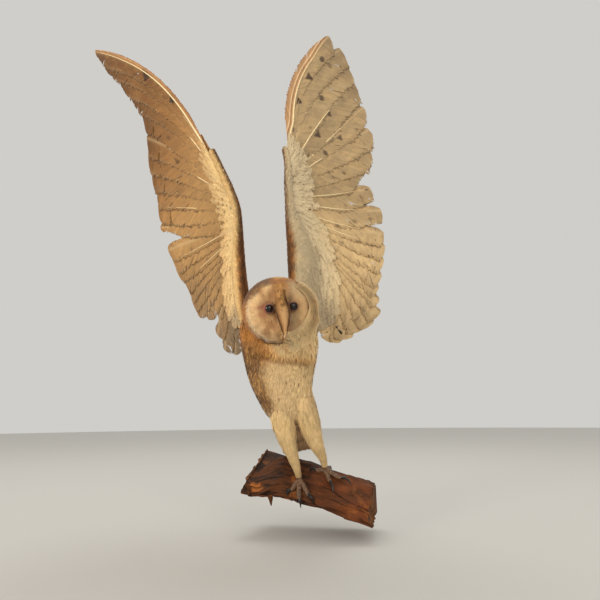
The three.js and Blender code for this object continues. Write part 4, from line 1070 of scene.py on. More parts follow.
def flight_colour(w, i, G, wmax, wout, seed):
    """Linear colour of each vertex of flight feather i; below pale with a few marks, above golden and barred."""
    s, o, sheet = G["s"], G["o"], G["sheet"]
    r = np.random.default_rng(seed)
    q = np.c_[s * G["L"], o, np.full(len(s), 7.3 * i)]
    n1, n2 = fbm(q, (16, 5, 9), 51), noise(q, (1.6, 7.0, 9), 53)
    n3 = noise(q, (0.9, 9.0, 9), 55)
    prim = i < 10
    x = np.clip(o / max(wmax, 1), -1, 1.3)
    u_, v_ = G["uv"][:, 0], G["uv"][:, 1]
    # the two wings' under sides are lit and shaded copies of one colour: warm with painted lamp glow on this wing (r),
    # grey with painted shade on the other (l)
    if w.side == "r":
        out_, in_ = lin((178, 128, 74)), lin((202, 156, 98))
        lo = mix(out_, in_, sm(150, 40, u_))
        lo = mix(lo, lin((150, 98, 52)), 0.60 * sm(0.3, 0.6, n1) * sm(110, 240, u_))
        lo = mix(lo, lin((128, 82, 44)), 0.62 * sm(0.80, 1.0, s) * (1.0 if i < 6 else 0.45))
        lo = mix(lo, lin((168, 136, 98)), 0.6 * sm(0.40, 0.65, n1) * sm(10, -50, u_))
        lo = mix(lo, lin((132, 114, 92)), 0.7 * sm(w.N - 4.5, w.N - 1.5, i))
        # painted shade: darker over this under side, most towards the end of the wing, and warmer there
        lo = lo * lerp(lerp(0.68, 0.82, sm(0, 60, u_)), 0.53, sm(90, 200, u_))[:, None]
        lo = lo * lerp(np.ones(3), np.array([1.0, 0.95, 0.82]), sm(90, 200, u_)[:, None])
    else:
        # painted shade: the grey shaded copy of the under side's colour
        lo = mix(lin((168, 142, 104)), lin((182, 152, 108)), sm(0.35, 0.65, n1))
        lo = mix(lo, lin((220, 186, 134)), 0.75 * sm(35, -20, u_))
        lo = mix(lo, lin((134, 108, 78)), 0.65 * sm(0.78, 0.98, s) * (1.0 if i < 4 else 0.3) * sm(0.25, 0.7, n1 + 0.15))
        lo = mix(lo, lin((186, 160, 116)), 0.35 * sm(0.2, 0.9, x))
    if i == 0:
        e = -o / np.maximum(wout, 1)
        band = sm(0.02, 0.12, e)
        lo = mix(lo, lin((188, 142, 98)) if w.side == "l" else lin((164, 112, 68)), 0.85 * band)
        if w.side == "l":
            lo = mix(lo, lin((112, 72, 44)), 0.85 * np.exp(-((o + 3.3) / 0.8) ** 2) * sm(0.04, 0.12, s))
            lo = mix(lo, lin((246, 208, 158)), 0.90 * np.exp(-((o + 5.0) / 0.8) ** 2) * sm(0.04, 0.12, s) * sm(1.0, 0.9, s))
            lo = mix(lo, lin((142, 92, 54)), 0.6 * sm(0.86, 1.0, e))
        else:
            lo = mix(lo, lin((110, 70, 40)), 0.6 * sm(0.7, 1.0, e) * sm(0.55, 0.2, s))
            lo = mix(lo, lin((206, 160, 108)), 0.7 * np.exp(-((o + 3.4) / 0.7) ** 2) * sm(0.3, 0.5, s))
    lo = mix(lo, lin((228, 200, 152)), 0.35 * np.exp(-np.abs(o) / 1.6))
    # painted shadow: darker along the vane edges, where the neighbouring feather overlaps
    lo = mix(lo, lin((150, 118, 82)), 0.35 * sm(0.90, 1.0, x) + 0.25 * (o < 0) * sm(0.7, 1.0, -o / np.maximum(wout, 1)) * (i > 0))
    bar = np.zeros_like(s)                                            # soft cross bars, hardly darker than the vane
    for c in (0.30, 0.47, 0.64, 0.82):
        bar = np.maximum(bar, sm(1.0, 0.3, np.abs(s - c - 0.012 * math.sin(2.1 * i) + 0.0014 * o) / 0.026))
    lo = mix(lo, lin((150, 118, 84)), (0.10 if prim else 0.20) * bar * sm(0.2, 0.6, np.abs(x)))
    lo = mix(lo, lin((70, 50, 36)), 1.0 * spots(w, u_, v_, feather_dir(shaft_curve(w, i), s)))
    up = mix(lin((206, 158, 102)), lin((184, 146, 100)), n1)
    up = mix(up, lin((210, 182, 136)), 0.65 * sm(0.2, 0.9, x))
    ub = np.zeros_like(s)
    for c, wd_ in ((0.215, 0.015), (0.40, 0.021), (0.59, 0.024), (0.785, 0.027)):
        c, dk = c + r.normal(0, 0.011), r.uniform(0.55, 1.0)
        ub = np.maximum(ub, dk * sm(1.0, 0.35, np.abs(s - c - 0.012 * math.sin(3.7 * i) + 0.0036 * i + 0.0016 * o + 0.010 * (n1 - 0.5)) / wd_))
    up = mix(up, lin((104, 84, 64)), 0.80 * ub * lerp(1, 0.5, sm(0.2, 1, x)))
    grey = sm(0.50, 0.62, noise(q, (3.0, 2.0, 9), 57))
    up = mix(up, lin((142, 126, 104)), (0.35 + 0.4 * sm(0.80, 0.99, s)) * grey)
    c = np.where((sheet < 0)[:, None], lo, up)
    b3 = np.c_[G["barb"], np.abs(o) / 14, np.full(len(s), 5.1 * i)]
    fine = 0.30 * (noise(b3, (1.6, 1.0, 9), 58) - 0.5) + 0.24 * (noise(b3, (4.5, 1.0, 9), 59) - 0.5)
    return c * (1 + 0.10 * (n2 - 0.5) + 0.06 * (n3 - 0.5) + fine * sm(0.0, 0.25, np.abs(x)))[:, None] * (1 + r.normal(0, 0.04))


def curve_gap(c, d):
    """Distance from each point of shaft c to shaft d."""
    return np.sqrt(((c[:, None] - d[None]) ** 2).sum(-1)).min(1)


def build_flight(w):
    N = w.N
    curves = [shaft_curve(w, i) for i in range(N)]
    parts, cols, uvs = [], [], []
    sh_parts, sh_cols = [], []
    ss = np.linspace(0, 1, 101)
    rows_total = 2 * N
    for i in range(N):
        c = curves[i]
        r = np.random.default_rng(900 + i + (50 if w.side == "r" else 0))
        L = float(np.hypot(*np.diff(c, axis=0).T).sum())
        nxt = curve_gap(c, curves[i + 1]) if i + 1 < N else np.full(101, 11.0)
        prv = curve_gap(c, curves[i - 1]) if i > 0 else np.full(101, 9.0)
        nxt = np.maximum(np.minimum(nxt, 30), 5.0)
        prv = np.maximum(prv, 5.0)
        # where the next feather ends beside this one: the edge of the wing runs from tip to tip
        tip_s, e = None, 0.45
        if i + 1 < N:
            t1 = curves[i + 1][-1]
            j = int(np.argmin(((c - t1) ** 2).sum(1)))
            off = float(np.sqrt(((c[j] - t1) ** 2).sum()))
            tip_s = min(ss[j], 1 - min(0.5, 0.55 * 8.0 / L))
            nxt = lerp(nxt, np.minimum(nxt, off), sm(ss[j] - 0.16, ss[j] + 0.01, ss))
            e = 0.55 if i < 5 else 0.40
            if i == 0:
                tip_s, e = min(tip_s, 0.90), 0.62
        wi = np.minimum(nxt * (1.16 if i < 10 else 1.25) + (1.0 if i < 10 else 2.5), 28.0 if i < 10 else 21.0)
        d0 = SHAFT_IN[w.side].get(i, 0.0)
        cap_out = d0 + (2.0 if i == 0 else (4.5 if i == 1 else (6.0 if i == 2 else 8.5)))
        if i == 0:
            k = sm(0.02, 0.2, ss) * (1 - 0.85 * sm(0.72, 1.0, ss))
            wo = 2.0 + d0 * k + (0.6 if w.side == "r" else 0)
        else:
            wo = np.minimum(prv * 0.55, cap_out)
        win = lambda s, wi=wi: np.interp(s, ss, wi) * np.interp(s, [0, .08, .25, 1], [0.4, .7, 1, 1])
        wout = lambda s, wo=wo: np.interp(s, ss, wo) * np.interp(s, [0, .08, .2, 1], [0.4, .7, 1, 1])
        wm = float(wi[50])

        def lift(S, O, tcol, i=i, wm=wm):
            t = O / max(wm, 1)
            rip = 0.16 * np.sin(S * 40 + 2.2 * i) * np.clip(np.abs(t), 0, 1)
            return np.where(O > 0, -0.95 * np.clip(t, 0, 1.4) ** 1.2, -0.75 * t) + 0.5 * np.sin(np.pi * np.clip(S, 0, 1)) + rip

        nt = w.s["notch"].get(i, 0.0)
        G = vane(c, win, wout, lift, rows=int(L / 1.4), seed=100 + i + (50 if w.side == "r" else 0), splits=2.4 if nt < 0.2 else 0.0,
                 notch=min(0.8, 2.9 * nt), tip_in=1.3 if i < 5 else 0.8, ragged=0.06, tip_s=tip_s, tip_e=e, fringe=(0.20 if i < 10 else 0.12, 0.0), tip_out=1.0 if i == 0 else 3.2,
                 cols=(13, 12 if i == 0 else 4) if i < 7 else ((9, 4) if i < 10 else (7, 3)))
        V = w.at(G["uv"][:, 0], G["uv"][:, 1], G["h"])
        parts.append((V, [G["F"]]))
        cols.append(flight_colour(w, i, G, wm, float(wo[50]), 300 + i))
        y = (2 * i + (G["sheet"] > 0)) / rows_total + (0.5 + 0.46 * np.clip(G["o"] / 29.0, -1, 1)) / rows_total
        uvs.append(np.c_[0.01 + 0.98 * G["s"], y])
        s0, s1, rr = SHOWN[w.side].get(i, (0.0, 0.0, 0.0))
        sink = 0.55                                                   # hidden shafts stay between the vanes
        hh = lambda s, s0=s0, s1=s1, rr=rr: 0.5 * np.sin(np.pi * s) + sink * (1 - (rr > 0) * sm(s0 - 0.05, s0 + 0.02, s) * sm(s1 + 0.1, s1, s)) - (0.25 + 0.55 * (rr > 0) * sm(s0 - 0.05, s0 + 0.02, s) * sm(s1 + 0.1, s1, s))
        r0 = max(rr, 0.95 if i < 10 else 0.75)
        P, H, sr = rachis(c, r0, 0.42 if i == 0 else 0.28, hh)
        VV = w.at(P[..., 0], P[..., 1], H)
        sh_parts.append(tube_mesh(VV))
        cc = mix(lin((250, 226, 176)), lin((214, 168, 108)), sm(0.45, 1.0, sr) * (0.5 if rr > 1 else 0.9))
        if rr == 0:
            cc = mix(cc, lin((212, 178, 128)), 0.7)
        cc = np.repeat(cc[:, None], 6, 1).reshape(-1, 3)
        sh_cols.append(np.concatenate([cc, cc[:1], cc[-1:]]))
    return parts, cols, uvs, sh_parts, sh_cols


def covert_rows(w, under):
    """Rows of covert feathers over the roots of the flight feathers."""
    parts, cols, uvs = [], [], []
    sgn = -1 if under else 1
    ridx = np.arange(w.N)
    roots = A(w.s["roots"])
    items = []
    # (chord fraction of the root, length hand, length arm, width, spacing in stations, height step)
    table = ([(0.95, 36, 31, 8.5, 0.13, 0.4), (0.86, 30, 26, 7.4, 0.12, 0.8), (0.72, 24, 22, 6.6, 0.12, 1.3), (0.58, 19, 18, 6.0, 0.12, 1.8)] if under else
             [(0.95, 66, 52, 12, 0.15, 0.5), (0.84, 48, 40, 10.5, 0.14, 1.0), (0.70, 34, 29, 9.0, 0.13, 1.5), (0.56, 25, 22, 8.0, 0.12, 2.0),
              (0.42, 18, 17, 7.0, 0.12, 2.4)])
    for row, (c, lh, la, wid, step, up) in enumerate(table):
        for t in np.arange((0.12 if under else 0.55) + 0.05 * row, 7.6 if under else 7.4, step):
            items.append((row, c, t, lerp(lh, la, float(sm(2.4, 4.5, t))) * lerp(1, 0.5, float(sm(6.2, 7.6, t))), wid, up))
    n = len(items)
    side = int(math.ceil(math.sqrt(n)))
    r = np.random.default_rng(7 + (3 if under else 0) + (11 if w.side == "r" else 0))
    curves = [w.curve(i) for i in range(w.N)]
    for k, (row, c, t, ln, wid, up) in enumerate(items):
        t = t + r.normal(0, 0.03)
        c = c + r.normal(0, 0.03)
        p = w.chord(A([t]), A([c]))[0]
        fi = float(np.interp(t, roots, ridx))
        j = min(w.N - 1, int(round(fi)))
        cu = curves[j]
        near_ = int(np.argmin(((cu - p) ** 2).sum(1)))
        d1 = unit(cu[min(100, near_ + 12)] - cu[min(88, near_)])
        d2 = unit(cu[min(100, near_ + 40)] - cu[min(88, near_ + 12)])
        ln = ln * r.uniform(0.78, 1.12) * (0.62 + 0.38 * float(sm(0.0, 1.2, t)))
        a_ = r.normal(0, 0.08)
        rot = A([[math.cos(a_), -math.sin(a_)], [math.sin(a_), math.cos(a_)]])
        d1, d2 = rot @ d1, rot @ d2
        q = np.linspace(0, 1, 25)[:, None]
        mid_, tip_ = p + d1 * ln * 0.5, p + d1 * ln * 0.5 + d2 * ln * 0.5
        cur = (1 - q) ** 2 * p + 2 * q * (1 - q) * mid_ + q * q * tip_
        wid = wid * lerp(0.5, 1.0, float(sm(0.2, 1.6, t)))
        hroot = float(w.thick(t, c)) * 0.9
        htip = 1.7 + up * 0.9

        def lift(S, O, tcol, hroot=hroot, htip=htip, wid=wid, up=up):
            edge = 0.35 * np.abs(O / wid)
            return sgn * (lerp(hroot, htip, sm(0.0, 0.55, S)) + 0.25 * up - edge - 0.18 * O / wid * sgn)

        w_i = lambda s, wid=wid: wid * 0.58 * np.interp(s, [0, .12, .45, 1], [.45, .8, 1, .95])
        w_o = lambda s, wid=wid: wid * 0.50 * np.interp(s, [0, .12, .45, 1], [.45, .8, 1, .95])
        G = vane(cur, w_i, w_o, lift, rows=max(9, int(ln / 1.6)), cols=(3, 3), seed=1000 + k, splits=2.2, tip_in=1.5 if under else 1.1,
                 ragged=0.17 if under else 0.10, fringe=(0.28, 0.28) if under else (0.12, 0.12), sheets=(sgn,), gap=0.05, angle=(38, 38))
        V = w.at(G["uv"][:, 0], G["uv"][:, 1], G["h"])
        parts.append((V, [G["F"]]))
        s, o = G["s"], G["o"]
        P = np.c_[s * ln, o, np.full(len(s), 3.1 * k)]
        nn, nf = fbm(P, (7, 3, 9), 61), noise(P, 1.5, 63)
        if under:
            uu = G["uv"][:, 0]
            base = LINING_R_LIT if w.side == "r" else LINING_L_SHADED
            # painted light and shade: a warm lit copy under one wing (r), a grey shaded copy under the other (l)
            fl = (mix(lin((186, 138, 84)), lin((204, 160, 104)), sm(120, 20, uu)) if w.side == "r" else
                  mix(lin((200, 178, 140)), lin((214, 188, 142)), sm(30, -25, uu)))
            cc = mix(fl, base, {0: 0.15, 1: 0.4, 2: 0.75, 3: 0.9}[row] + 0.1 * nn)
            cc = mix(cc, lin((178, 152, 116)), 0.35 * sm(0.45, 0.7, nn))
            cc = mix(cc, lin((84, 60, 42)), spots(w, uu, G["uv"][:, 1], np.tile(d1, (len(s), 1))))
            cc = mix(cc, lin((138, 118, 94)), 0.75 * sm(5.9, 7.0, t))
            cc = mix(cc, lin((236, 212, 168)), 0.30 * np.exp(-np.abs(o) / 0.7))
        else:
            cc = mix(lin((206, 156, 98)), lin((184, 142, 94)), nn)
            cc = mix(cc, lin((138, 124, 106)), 0.85 * sm(0.44, 0.60, nf) * sm(0.25, 0.75, s))
            if r.random() < 0.36:
                cc = mix(cc, lin((70, 52, 38)), 0.8 * sm(1.0, 0.6, np.hypot((s - 0.86) / 0.07, o / 1.4)))
                cc = mix(cc, lin((230, 220, 198)), 0.8 * sm(1.0, 0.6, np.hypot((s - 0.93) / 0.04, o / 0.9)))
        cc = cc * (1 + r.normal(0, 0.05)) * (lerp(0.95, 1.02, sm(0.1, 0.7, s)) if under else lerp(0.86, 1.03, sm(0.1, 0.7, s)))[:, None]
        cols.append(cc)
        gx, gy = (k % side + 0.5) / side, (k // side + 0.5) / side
        uvs.append(np.c_[gx + (0.9 / side) * (s - 0.5), gy + (0.85 / side) * np.clip(o / wid, -0.5, 0.5)])
    return parts, cols, uvs


def tail_feathers():
    """Twelve tail feathers in a closed fan."""
    a, b = TAIL["root"], TAIL["tip"]
    d = unit(b - a)
    sd = unit(BL - d * dot(BL, d))
    up = np.cross(sd, d)
    L = float(np.linalg.norm(b - a))
    parts, cols, uvs, sp, sc = [], [], [], [], []
    n = 12
    for i in range(n):
        x = -1 + 2 * (i + 0.5) / n
        ln = L - 3.5 * x * x + (1.2 if i % 2 else 0)
        k = np.linspace(0, 1, 41)[:, None]
        cu = np.concatenate([k * ln, x * lerp(10.5, 19.0, k ** 1.2)], 1)
        w_ = lambda s: 6.2 * np.interp(s, [0, .15, .5, 1], [.5, .8, 1, .95])
        inner = 1 if x < 0 else -1

        def lift(S, O, tcol, x=x, i=i):
            return 3.0 * np.sin(np.pi * S) - 3.0 * (x + O / 23) ** 2 + (1.5 - 2.6 * abs(x)) * lerp(1.3, 0.45, S) + 0.35 * np.sign(-x) * O / 6

        G = vane(cu, w_, w_, lift, rows=46, cols=(5, 5), seed=500 + i, splits=1.5, tip_in=1.1, ragged=0.05)
        to = lambda G_uv, h: a + d * G_uv[..., :1] + sd * G_uv[..., 1:] + up * h[..., None]
        parts.append((to(G["uv"], G["h"]), [G["F"]]))
        s, o = G["s"], G["o"]
        P = np.c_[s * ln, o, np.full(len(s), 3.1 * i)]
        nn = fbm(P, (9, 3, 9), 71)
        # painted shade: the under side is coloured dark for the shade it lies in between the legs
        lo = mix(lin((150, 120, 86)), lin((122, 94, 64)), nn)
        hi = mix(lin((200, 146, 80)), lin((180, 132, 80)), nn)
        bar = np.zeros_like(s)
        for c in (0.30, 0.48, 0.66, 0.84):
            bar = np.maximum(bar, sm(1, 0.5, np.abs(s - c) / 0.030))
        lo = mix(lo, lin((84, 62, 44)), 0.55 * bar)
        hi = mix(hi, lin((96, 76, 58)), 0.85 * bar)
        hi = mix(hi, lin((150, 132, 108)), 0.7 * sm(0.88, 0.97, s))
        top = G["sheet"] * up[2] > 0
        cols.append(np.where(top[:, None], hi, lo))
        y = (2 * i + (G["sheet"] > 0)) / (2 * n) + (0.5 + 0.45 * np.clip(o / 7, -1, 1)) / (2 * n)
        uvs.append(np.c_[0.01 + 0.98 * s, y])
        hh = lambda s_: lift(s_, 0 * s_, s_)
        P2, H2, sr = rachis(cu, 0.8, 0.25, hh, n=24)
        sp.append(tube_mesh(to(P2, H2)))
        cc = np.tile(lin((206, 176, 126)), (24 * 6 + 2, 1))
        sc.append(cc)
    return parts, cols, uvs, sp, sc

# ------------------------------------------------------------- log, toes, bill
def log_top(x):
    return LOG["z0"] + LOG["fall"] * x


def log_height(x, h):
    z = float(np.interp(h, LOG_SECTION[:8, 0], LOG_SECTION[:8, 1]))
    return log_top(x) + z + 1.2


def lump(x, j):
    return 1.5 * np.sin(x / 13 + 1.7 * j) + 1.1 * np.sin(x / 7.1 + 2.9 * j + 1)


def log_surface(x, j):
    """Points of the log at stations x and fractional section index j (0..14)."""
    sec = along(LOG_SECTION, j.ravel()).reshape(j.shape + (2,))
    h, zs = np.maximum(sec[..., 0], 0), sec[..., 1]
    z = lerp(zs, -0.5 * h, np.where(j < 7.5, sm(-28, -76, x), 0)) + (5 - 14 * sm(-20, -80, x)) * sm(-15, -30, zs)
    cx, cz = 38, -19
    d = np.maximum(np.hypot(h - cx, z - cz), 1)
    taper = 1 - 0.05 * sm(40, 77, x) - 0.03 * sm(-60, -80, x)
    wall = sm(0.0, 0.9, j) * sm(14, 13.1, j)
    amt = lump(x, j) * wall
    return cx + (h - cx) * taper + (h - cx) / d * amt, log_top(x) + cz + (z - cz) * taper + (z - cz) / d * amt, d


def log_mesh():
    nx, nj = 250, 150
    k = np.linspace(0, 1, nx)
    x = lerp(LOG["x0"], LOG["x1"], k)[:, None] + np.zeros((1, nj))
    j = np.linspace(0, 14, nj)[None, :] + np.zeros((nx, 1))
    h, z, d = log_surface(x, j)
    wall = sm(0.15, 1.0, j) * sm(13.85, 13.0, j)
    G = np.stack([x, j * 7.0, 0 * x], -1).reshape(-1, 3)
    # weathered grain: long grooves, checks that open along the log, bark flakes
    g1 = fbm(G + A([0, 4 * 1.0, 0]) * 0 + np.c_[0 * G[:, :1], 2.2 * np.sin(G[:, :1] / 17), 0 * G[:, :1]], (46, 2.6, 9), 81).reshape(nx, nj)
    g2 = fbm(G, (17, 1.25, 9), 83).reshape(nx, nj)
    flake = fbm(G, (26, 13, 9), 87).reshape(nx, nj)
    crack = sm(0.055, 0.0, np.abs(fbm(G + np.c_[0 * G[:, :1], 3 * np.sin(G[:, :1] / 23 + 1), 0 * G[:, :1]], (64, 8.5, 9), 91).reshape(nx, nj) - 0.5))
    crack = crack * sm(0.42, 0.6, fbm(G, (40, 16, 9), 93).reshape(nx, nj))
    disp = (1.7 * (g1 - 0.55) + 0.9 * (g2 - 0.5) - 2.4 * crack + 1.3 * (sm(0.46, 0.52, flake) - 0.6)) * wall
    disp = np.clip(disp, -3.6, 1.0)
    feet = [(-8, 70), (19.6, 51)]
    hh = h + (h - 38) / d * disp
    zz = z + (z - log_top(x) + 19) / d * disp
    # the broken ends are skewed and splintered
    jj = np.floor(j * 3.1)
    jag = (hash01(jj.astype(int), jj.astype(int) * 3, jj.astype(int) * 7, 5) - 0.5)
    ends_l = sm(8, 0, x - LOG["x0"])
    ends_r = sm(8, 0, LOG["x1"] - x)
    xx = x + ends_l * (6 * (1 - h / 78) + 2.6 * jag * 2 * wall + 0.8) - ends_r * (1.2 * (1 + np.sin(j * 0.9 + 2)) + 2.4 * (jag + 0.5) * wall)
    V = np.stack([xx, -np.maximum(hh, 0) * (wall > 0) - 0 * hh, zz], -1)
    V[:, 0, 1] = V[:, -1, 1] = 0.0
    V[..., 1] = np.where(V[..., 1] > 0, 0, V[..., 1])
    rings = [V]
    # ends: rings shrinking to the pith, torn along the growth rings
    def cap(ring, sgn, seed):
        out = []
        c = A([ring[:, 0].mean(), -37.0, log_top(ring[:, 0].mean()) - 17])
        m = 16
        for i in range(1, m + 1):
            f = 1 - i / m
            p = c + (ring - c) * f
            q = (p - c)
            rad_ = np.hypot(q[:, 1], q[:, 2])
            torn = 2.8 * (fbm(np.c_[q[:, 1] / 1.0, q[:, 2] / 1.0, np.full(len(q), seed * 9.0)], (7, 2.6, 9), seed) - 0.62) + 0.5 * np.sin(rad_ / 1.3) * 0.5
            p[:, 0] = c[0] + (ring[:, 0] - c[0]) * f ** 0.5 - sgn * (1.5 - torn) * (1 - f ** 4)
            p[:, 1] = np.minimum(p[:, 1], -0.3)
            out.append(p)
        return out
    left_, right_ = cap(V[0], -1, 95), cap(V[-1], 1, 97)
    allr = np.stack(left_[::-1] + list(V) + right_, 0)
    m = allr.shape[1]
    P = allr.reshape(-1, 3)
    F = [grid_faces(len(allr), m, True)]
    # colour
    X = P[:, 0]
    jx = np.tile(np.linspace(0, 14, m), len(allr))
    Q = np.c_[X, jx * 7, 0 * X]
    n1, n2, n3 = fbm(Q, (30, 11, 9), 101), fbm(Q, (18, 2.4, 9), 103), fbm(Q, (9, 6, 9), 105)
    dark, brown, red, orange = lin((46, 30, 20)), lin((96, 58, 32)), lin((122, 70, 40)), lin((186, 118, 62))
    c = mix(dark, brown, sm(0.35, 0.62, n2))
    c = mix(c, mix(brown, red, sm(0.4, 0.6, n1)), sm(-10, 26, X) * 0.8)
    c = mix(c, orange, 0.85 * sm(0.52, 0.62, n1) * sm(0.40, 0.58, n3) * sm(6, -30, X))
    c = mix(c, lin((160, 100, 58)), 0.55 * sm(30, 70, X) * sm(0.45, 0.6, n3))
    c = mix(c, dark, 0.75 * sm(3.4, 1.0, jx) * sm(0.30, 0.55, n1 + 0.1))
    cr = np.zeros(len(P))
    cr[16 * m:16 * m + nx * nj] = crack.ravel()
    c = mix(c, lin((22, 14, 10)), 0.85 * cr)
    e = np.zeros(len(P))
    e[:16 * m] = 1
    e[16 * m + nx * nj:] = 1
    c = mix(c, mix(lin((150, 104, 62)), lin((70, 44, 28)), sm(0.35, 0.65, fbm(P, (3, 2.2, 5.0), 107))), 0.85 * e)
    # splinter under the left end
    t = np.linspace(0, 1, 26)[:, None]
    a = 2 * np.pi * np.arange(14)[None, :] / 14
    r_ = lerp(6.5, 0.5, t ** 1.2) * (1 + 0.16 * np.sin(3 * a + 9 * t) + 0.10 * np.sin(7 * a))
    sp = np.stack([-49 + 5 * t + r_ * np.cos(a), -63 - 4 * t + 0.8 * r_ * np.sin(a), lerp(6, -17.6, t) + 0 * a], -1)
    SVs, SFs = tube_mesh(sp[::-1])
    sc = mix(lin((58, 36, 22)), lin((120, 78, 46)), fbm(SVs, (2, 2, 12), 109))
    V2, F2 = join_meshes([(P, F), (SVs, SFs)])
    return V2, F2, np.concatenate([c, sc]) * A([0.76, 0.64, 0.44])


def rope(points, radii, sides, steps, shape=None):
    """Tube along smooth points; shape(t, a) scales its radius."""
    t = np.linspace(0, 1, steps + 1)
    T = A(points, float)
    c = along(T, t * (len(T) - 1))
    d = unit(along(T, np.minimum(t * (len(T) - 1) + 0.04, len(T) - 1)) - along(T, np.maximum(t * (len(T) - 1) - 0.04, 0)))
    side = unit(np.cross(np.broadcast_to(ZUP, d.shape), d))
    up = np.cross(d, side)
    r = along(A(radii, float), t * (len(radii) - 1))[:, 0]
    a = 2 * np.pi * np.arange(sides) / sides
    R = r[:, None] * (1 if shape is None else shape(t[:, None], a[None, :]))
    return c[:, None] + side[:, None] * (R * np.cos(a))[..., None] + up[:, None] * (R * np.sin(a))[..., None], c, up, d


def foot_parts(side):
    spec = FOOT[side]
    x, h = spec["at"]
    hub = [x, -h, spec["z"]]
    toes, claws, hairs = [], [], []
    for i, (deg, ln, claw) in enumerate(spec["toes"]):
        a = rad(deg)
        dx, dh = math.sin(a), math.cos(a)

        def at(s, lift):
            over = max(0.0, h + dh * s - 77)
            out = h + dh * s - over
            px = x + dx * s
            return [px, -(out + 0.15 * over + (0.5 * lift if over else 0)), log_height(px, min(out, 76.9)) - 0.95 * over + lift]

        def toe_shape(t, a_):
            top = np.clip(np.sin(a_), 0, 1)
            scutes = 0.055 * np.sin(2 * np.pi * t * ln / 1.9) * top
            pads = 0.14 * np.clip(-np.sin(a_), 0, 1) * (0.5 + 0.5 * np.cos(2 * np.pi * (t * 2.2 - 0.35)))
            grain = 0.04 * np.sin(9 * a_ + 2 * np.pi * t * ln / 1.3)
            return 1 + scutes + pads + grain * np.clip(-np.sin(a_) + 0.3, 0, 1)

        rg, c, up, d = rope([hub, at(ln * 0.4, 4.2), at(ln * 0.75, 3.1), at(ln, 2.9)], [3.7, 2.9, 2.7, 2.0], 18, 44, toe_shape)
        toes.append(tube_mesh(rg))
        hairs.append((c, up, d))
        rg, _, _, _ = rope([at(ln - 1.6, 3.0), at(ln + claw * 0.4, 4.0), at(ln + claw * 0.75, 2.2), at(ln + claw * 0.93, -0.7)],
                           [1.95, 1.55, 1.0, 0.16], 14, 24, lambda t, a_: 1 - 0.12 * np.clip(-np.sin(a_), 0, 1))
        claws.append(tube_mesh(rg))
    return toes, claws, hairs


def bill_point(t, a, grow=0.0, lower=False):
    """Point of the bill's surface at t along it and a round it, grown outwards."""
    t, a = np.asarray(t, float), np.asarray(a, float)
    if lower:
        u = lerp(-17.0, -31.0, t)
        f = lerp(19.0, 29.0, t)
        w, d = lerp(3.6, 1.5, np.clip(t, 0, 1) ** 0.9), lerp(3.0, 1.0, t)
    else:
        u = lerp(4.0, -33.0, t)
        f = 24 + 13 * np.sin(np.pi * (0.12 + 0.62 * t)) - 4.5 * t * t
        w, d = lerp(4.4, 1.15, np.clip(t, 0, 1) ** 1.2), lerp(6.5, 1.35, t)
        # the hook draws in to a point
        w = w * np.where(t > 0.86, np.sqrt(np.clip((1.005 - t) / 0.145, 0, 1)), 1)
        d = d * np.where(t > 0.9, np.sqrt(np.clip((1.01 - t) / 0.11, 0, 1)), 1)
    w, d = w + grow, d + grow
    ca, sa = np.cos(a), np.sin(a)
    ridge = 1 - 0.22 * np.clip(sa, 0, 1) ** 1.5              # the culmen is narrower than the sides
    return w * ca * ridge, u + 0 * ca, f + d * sa


def bill_rings(lower, n, sides):
    t = np.linspace(0, 1, n)[:, None]
    a = 2 * np.pi * np.arange(sides)[None, :] / sides
    l_, u, f_ = bill_point(t, a, 0.0, lower)
    nn = 0 * l_
    if not lower:
        ca, sa = np.cos(a), np.sin(a)
        nn = np.exp(-((t - 0.60) / 0.035) ** 2 - ((np.abs(ca) - 0.93) / 0.16) ** 2) * (sa > -0.2)
        cere = 0.35 * sm(0.70, 0.64, t) * np.clip(sa + 0.4, 0, 1)
        l_ = l_ * (1 - 0.30 * nn) + cere * ca
        f_ = f_ + cere * sa - 0.5 * nn
    return on_head(l_, u, f_), t + 0 * l_, nn


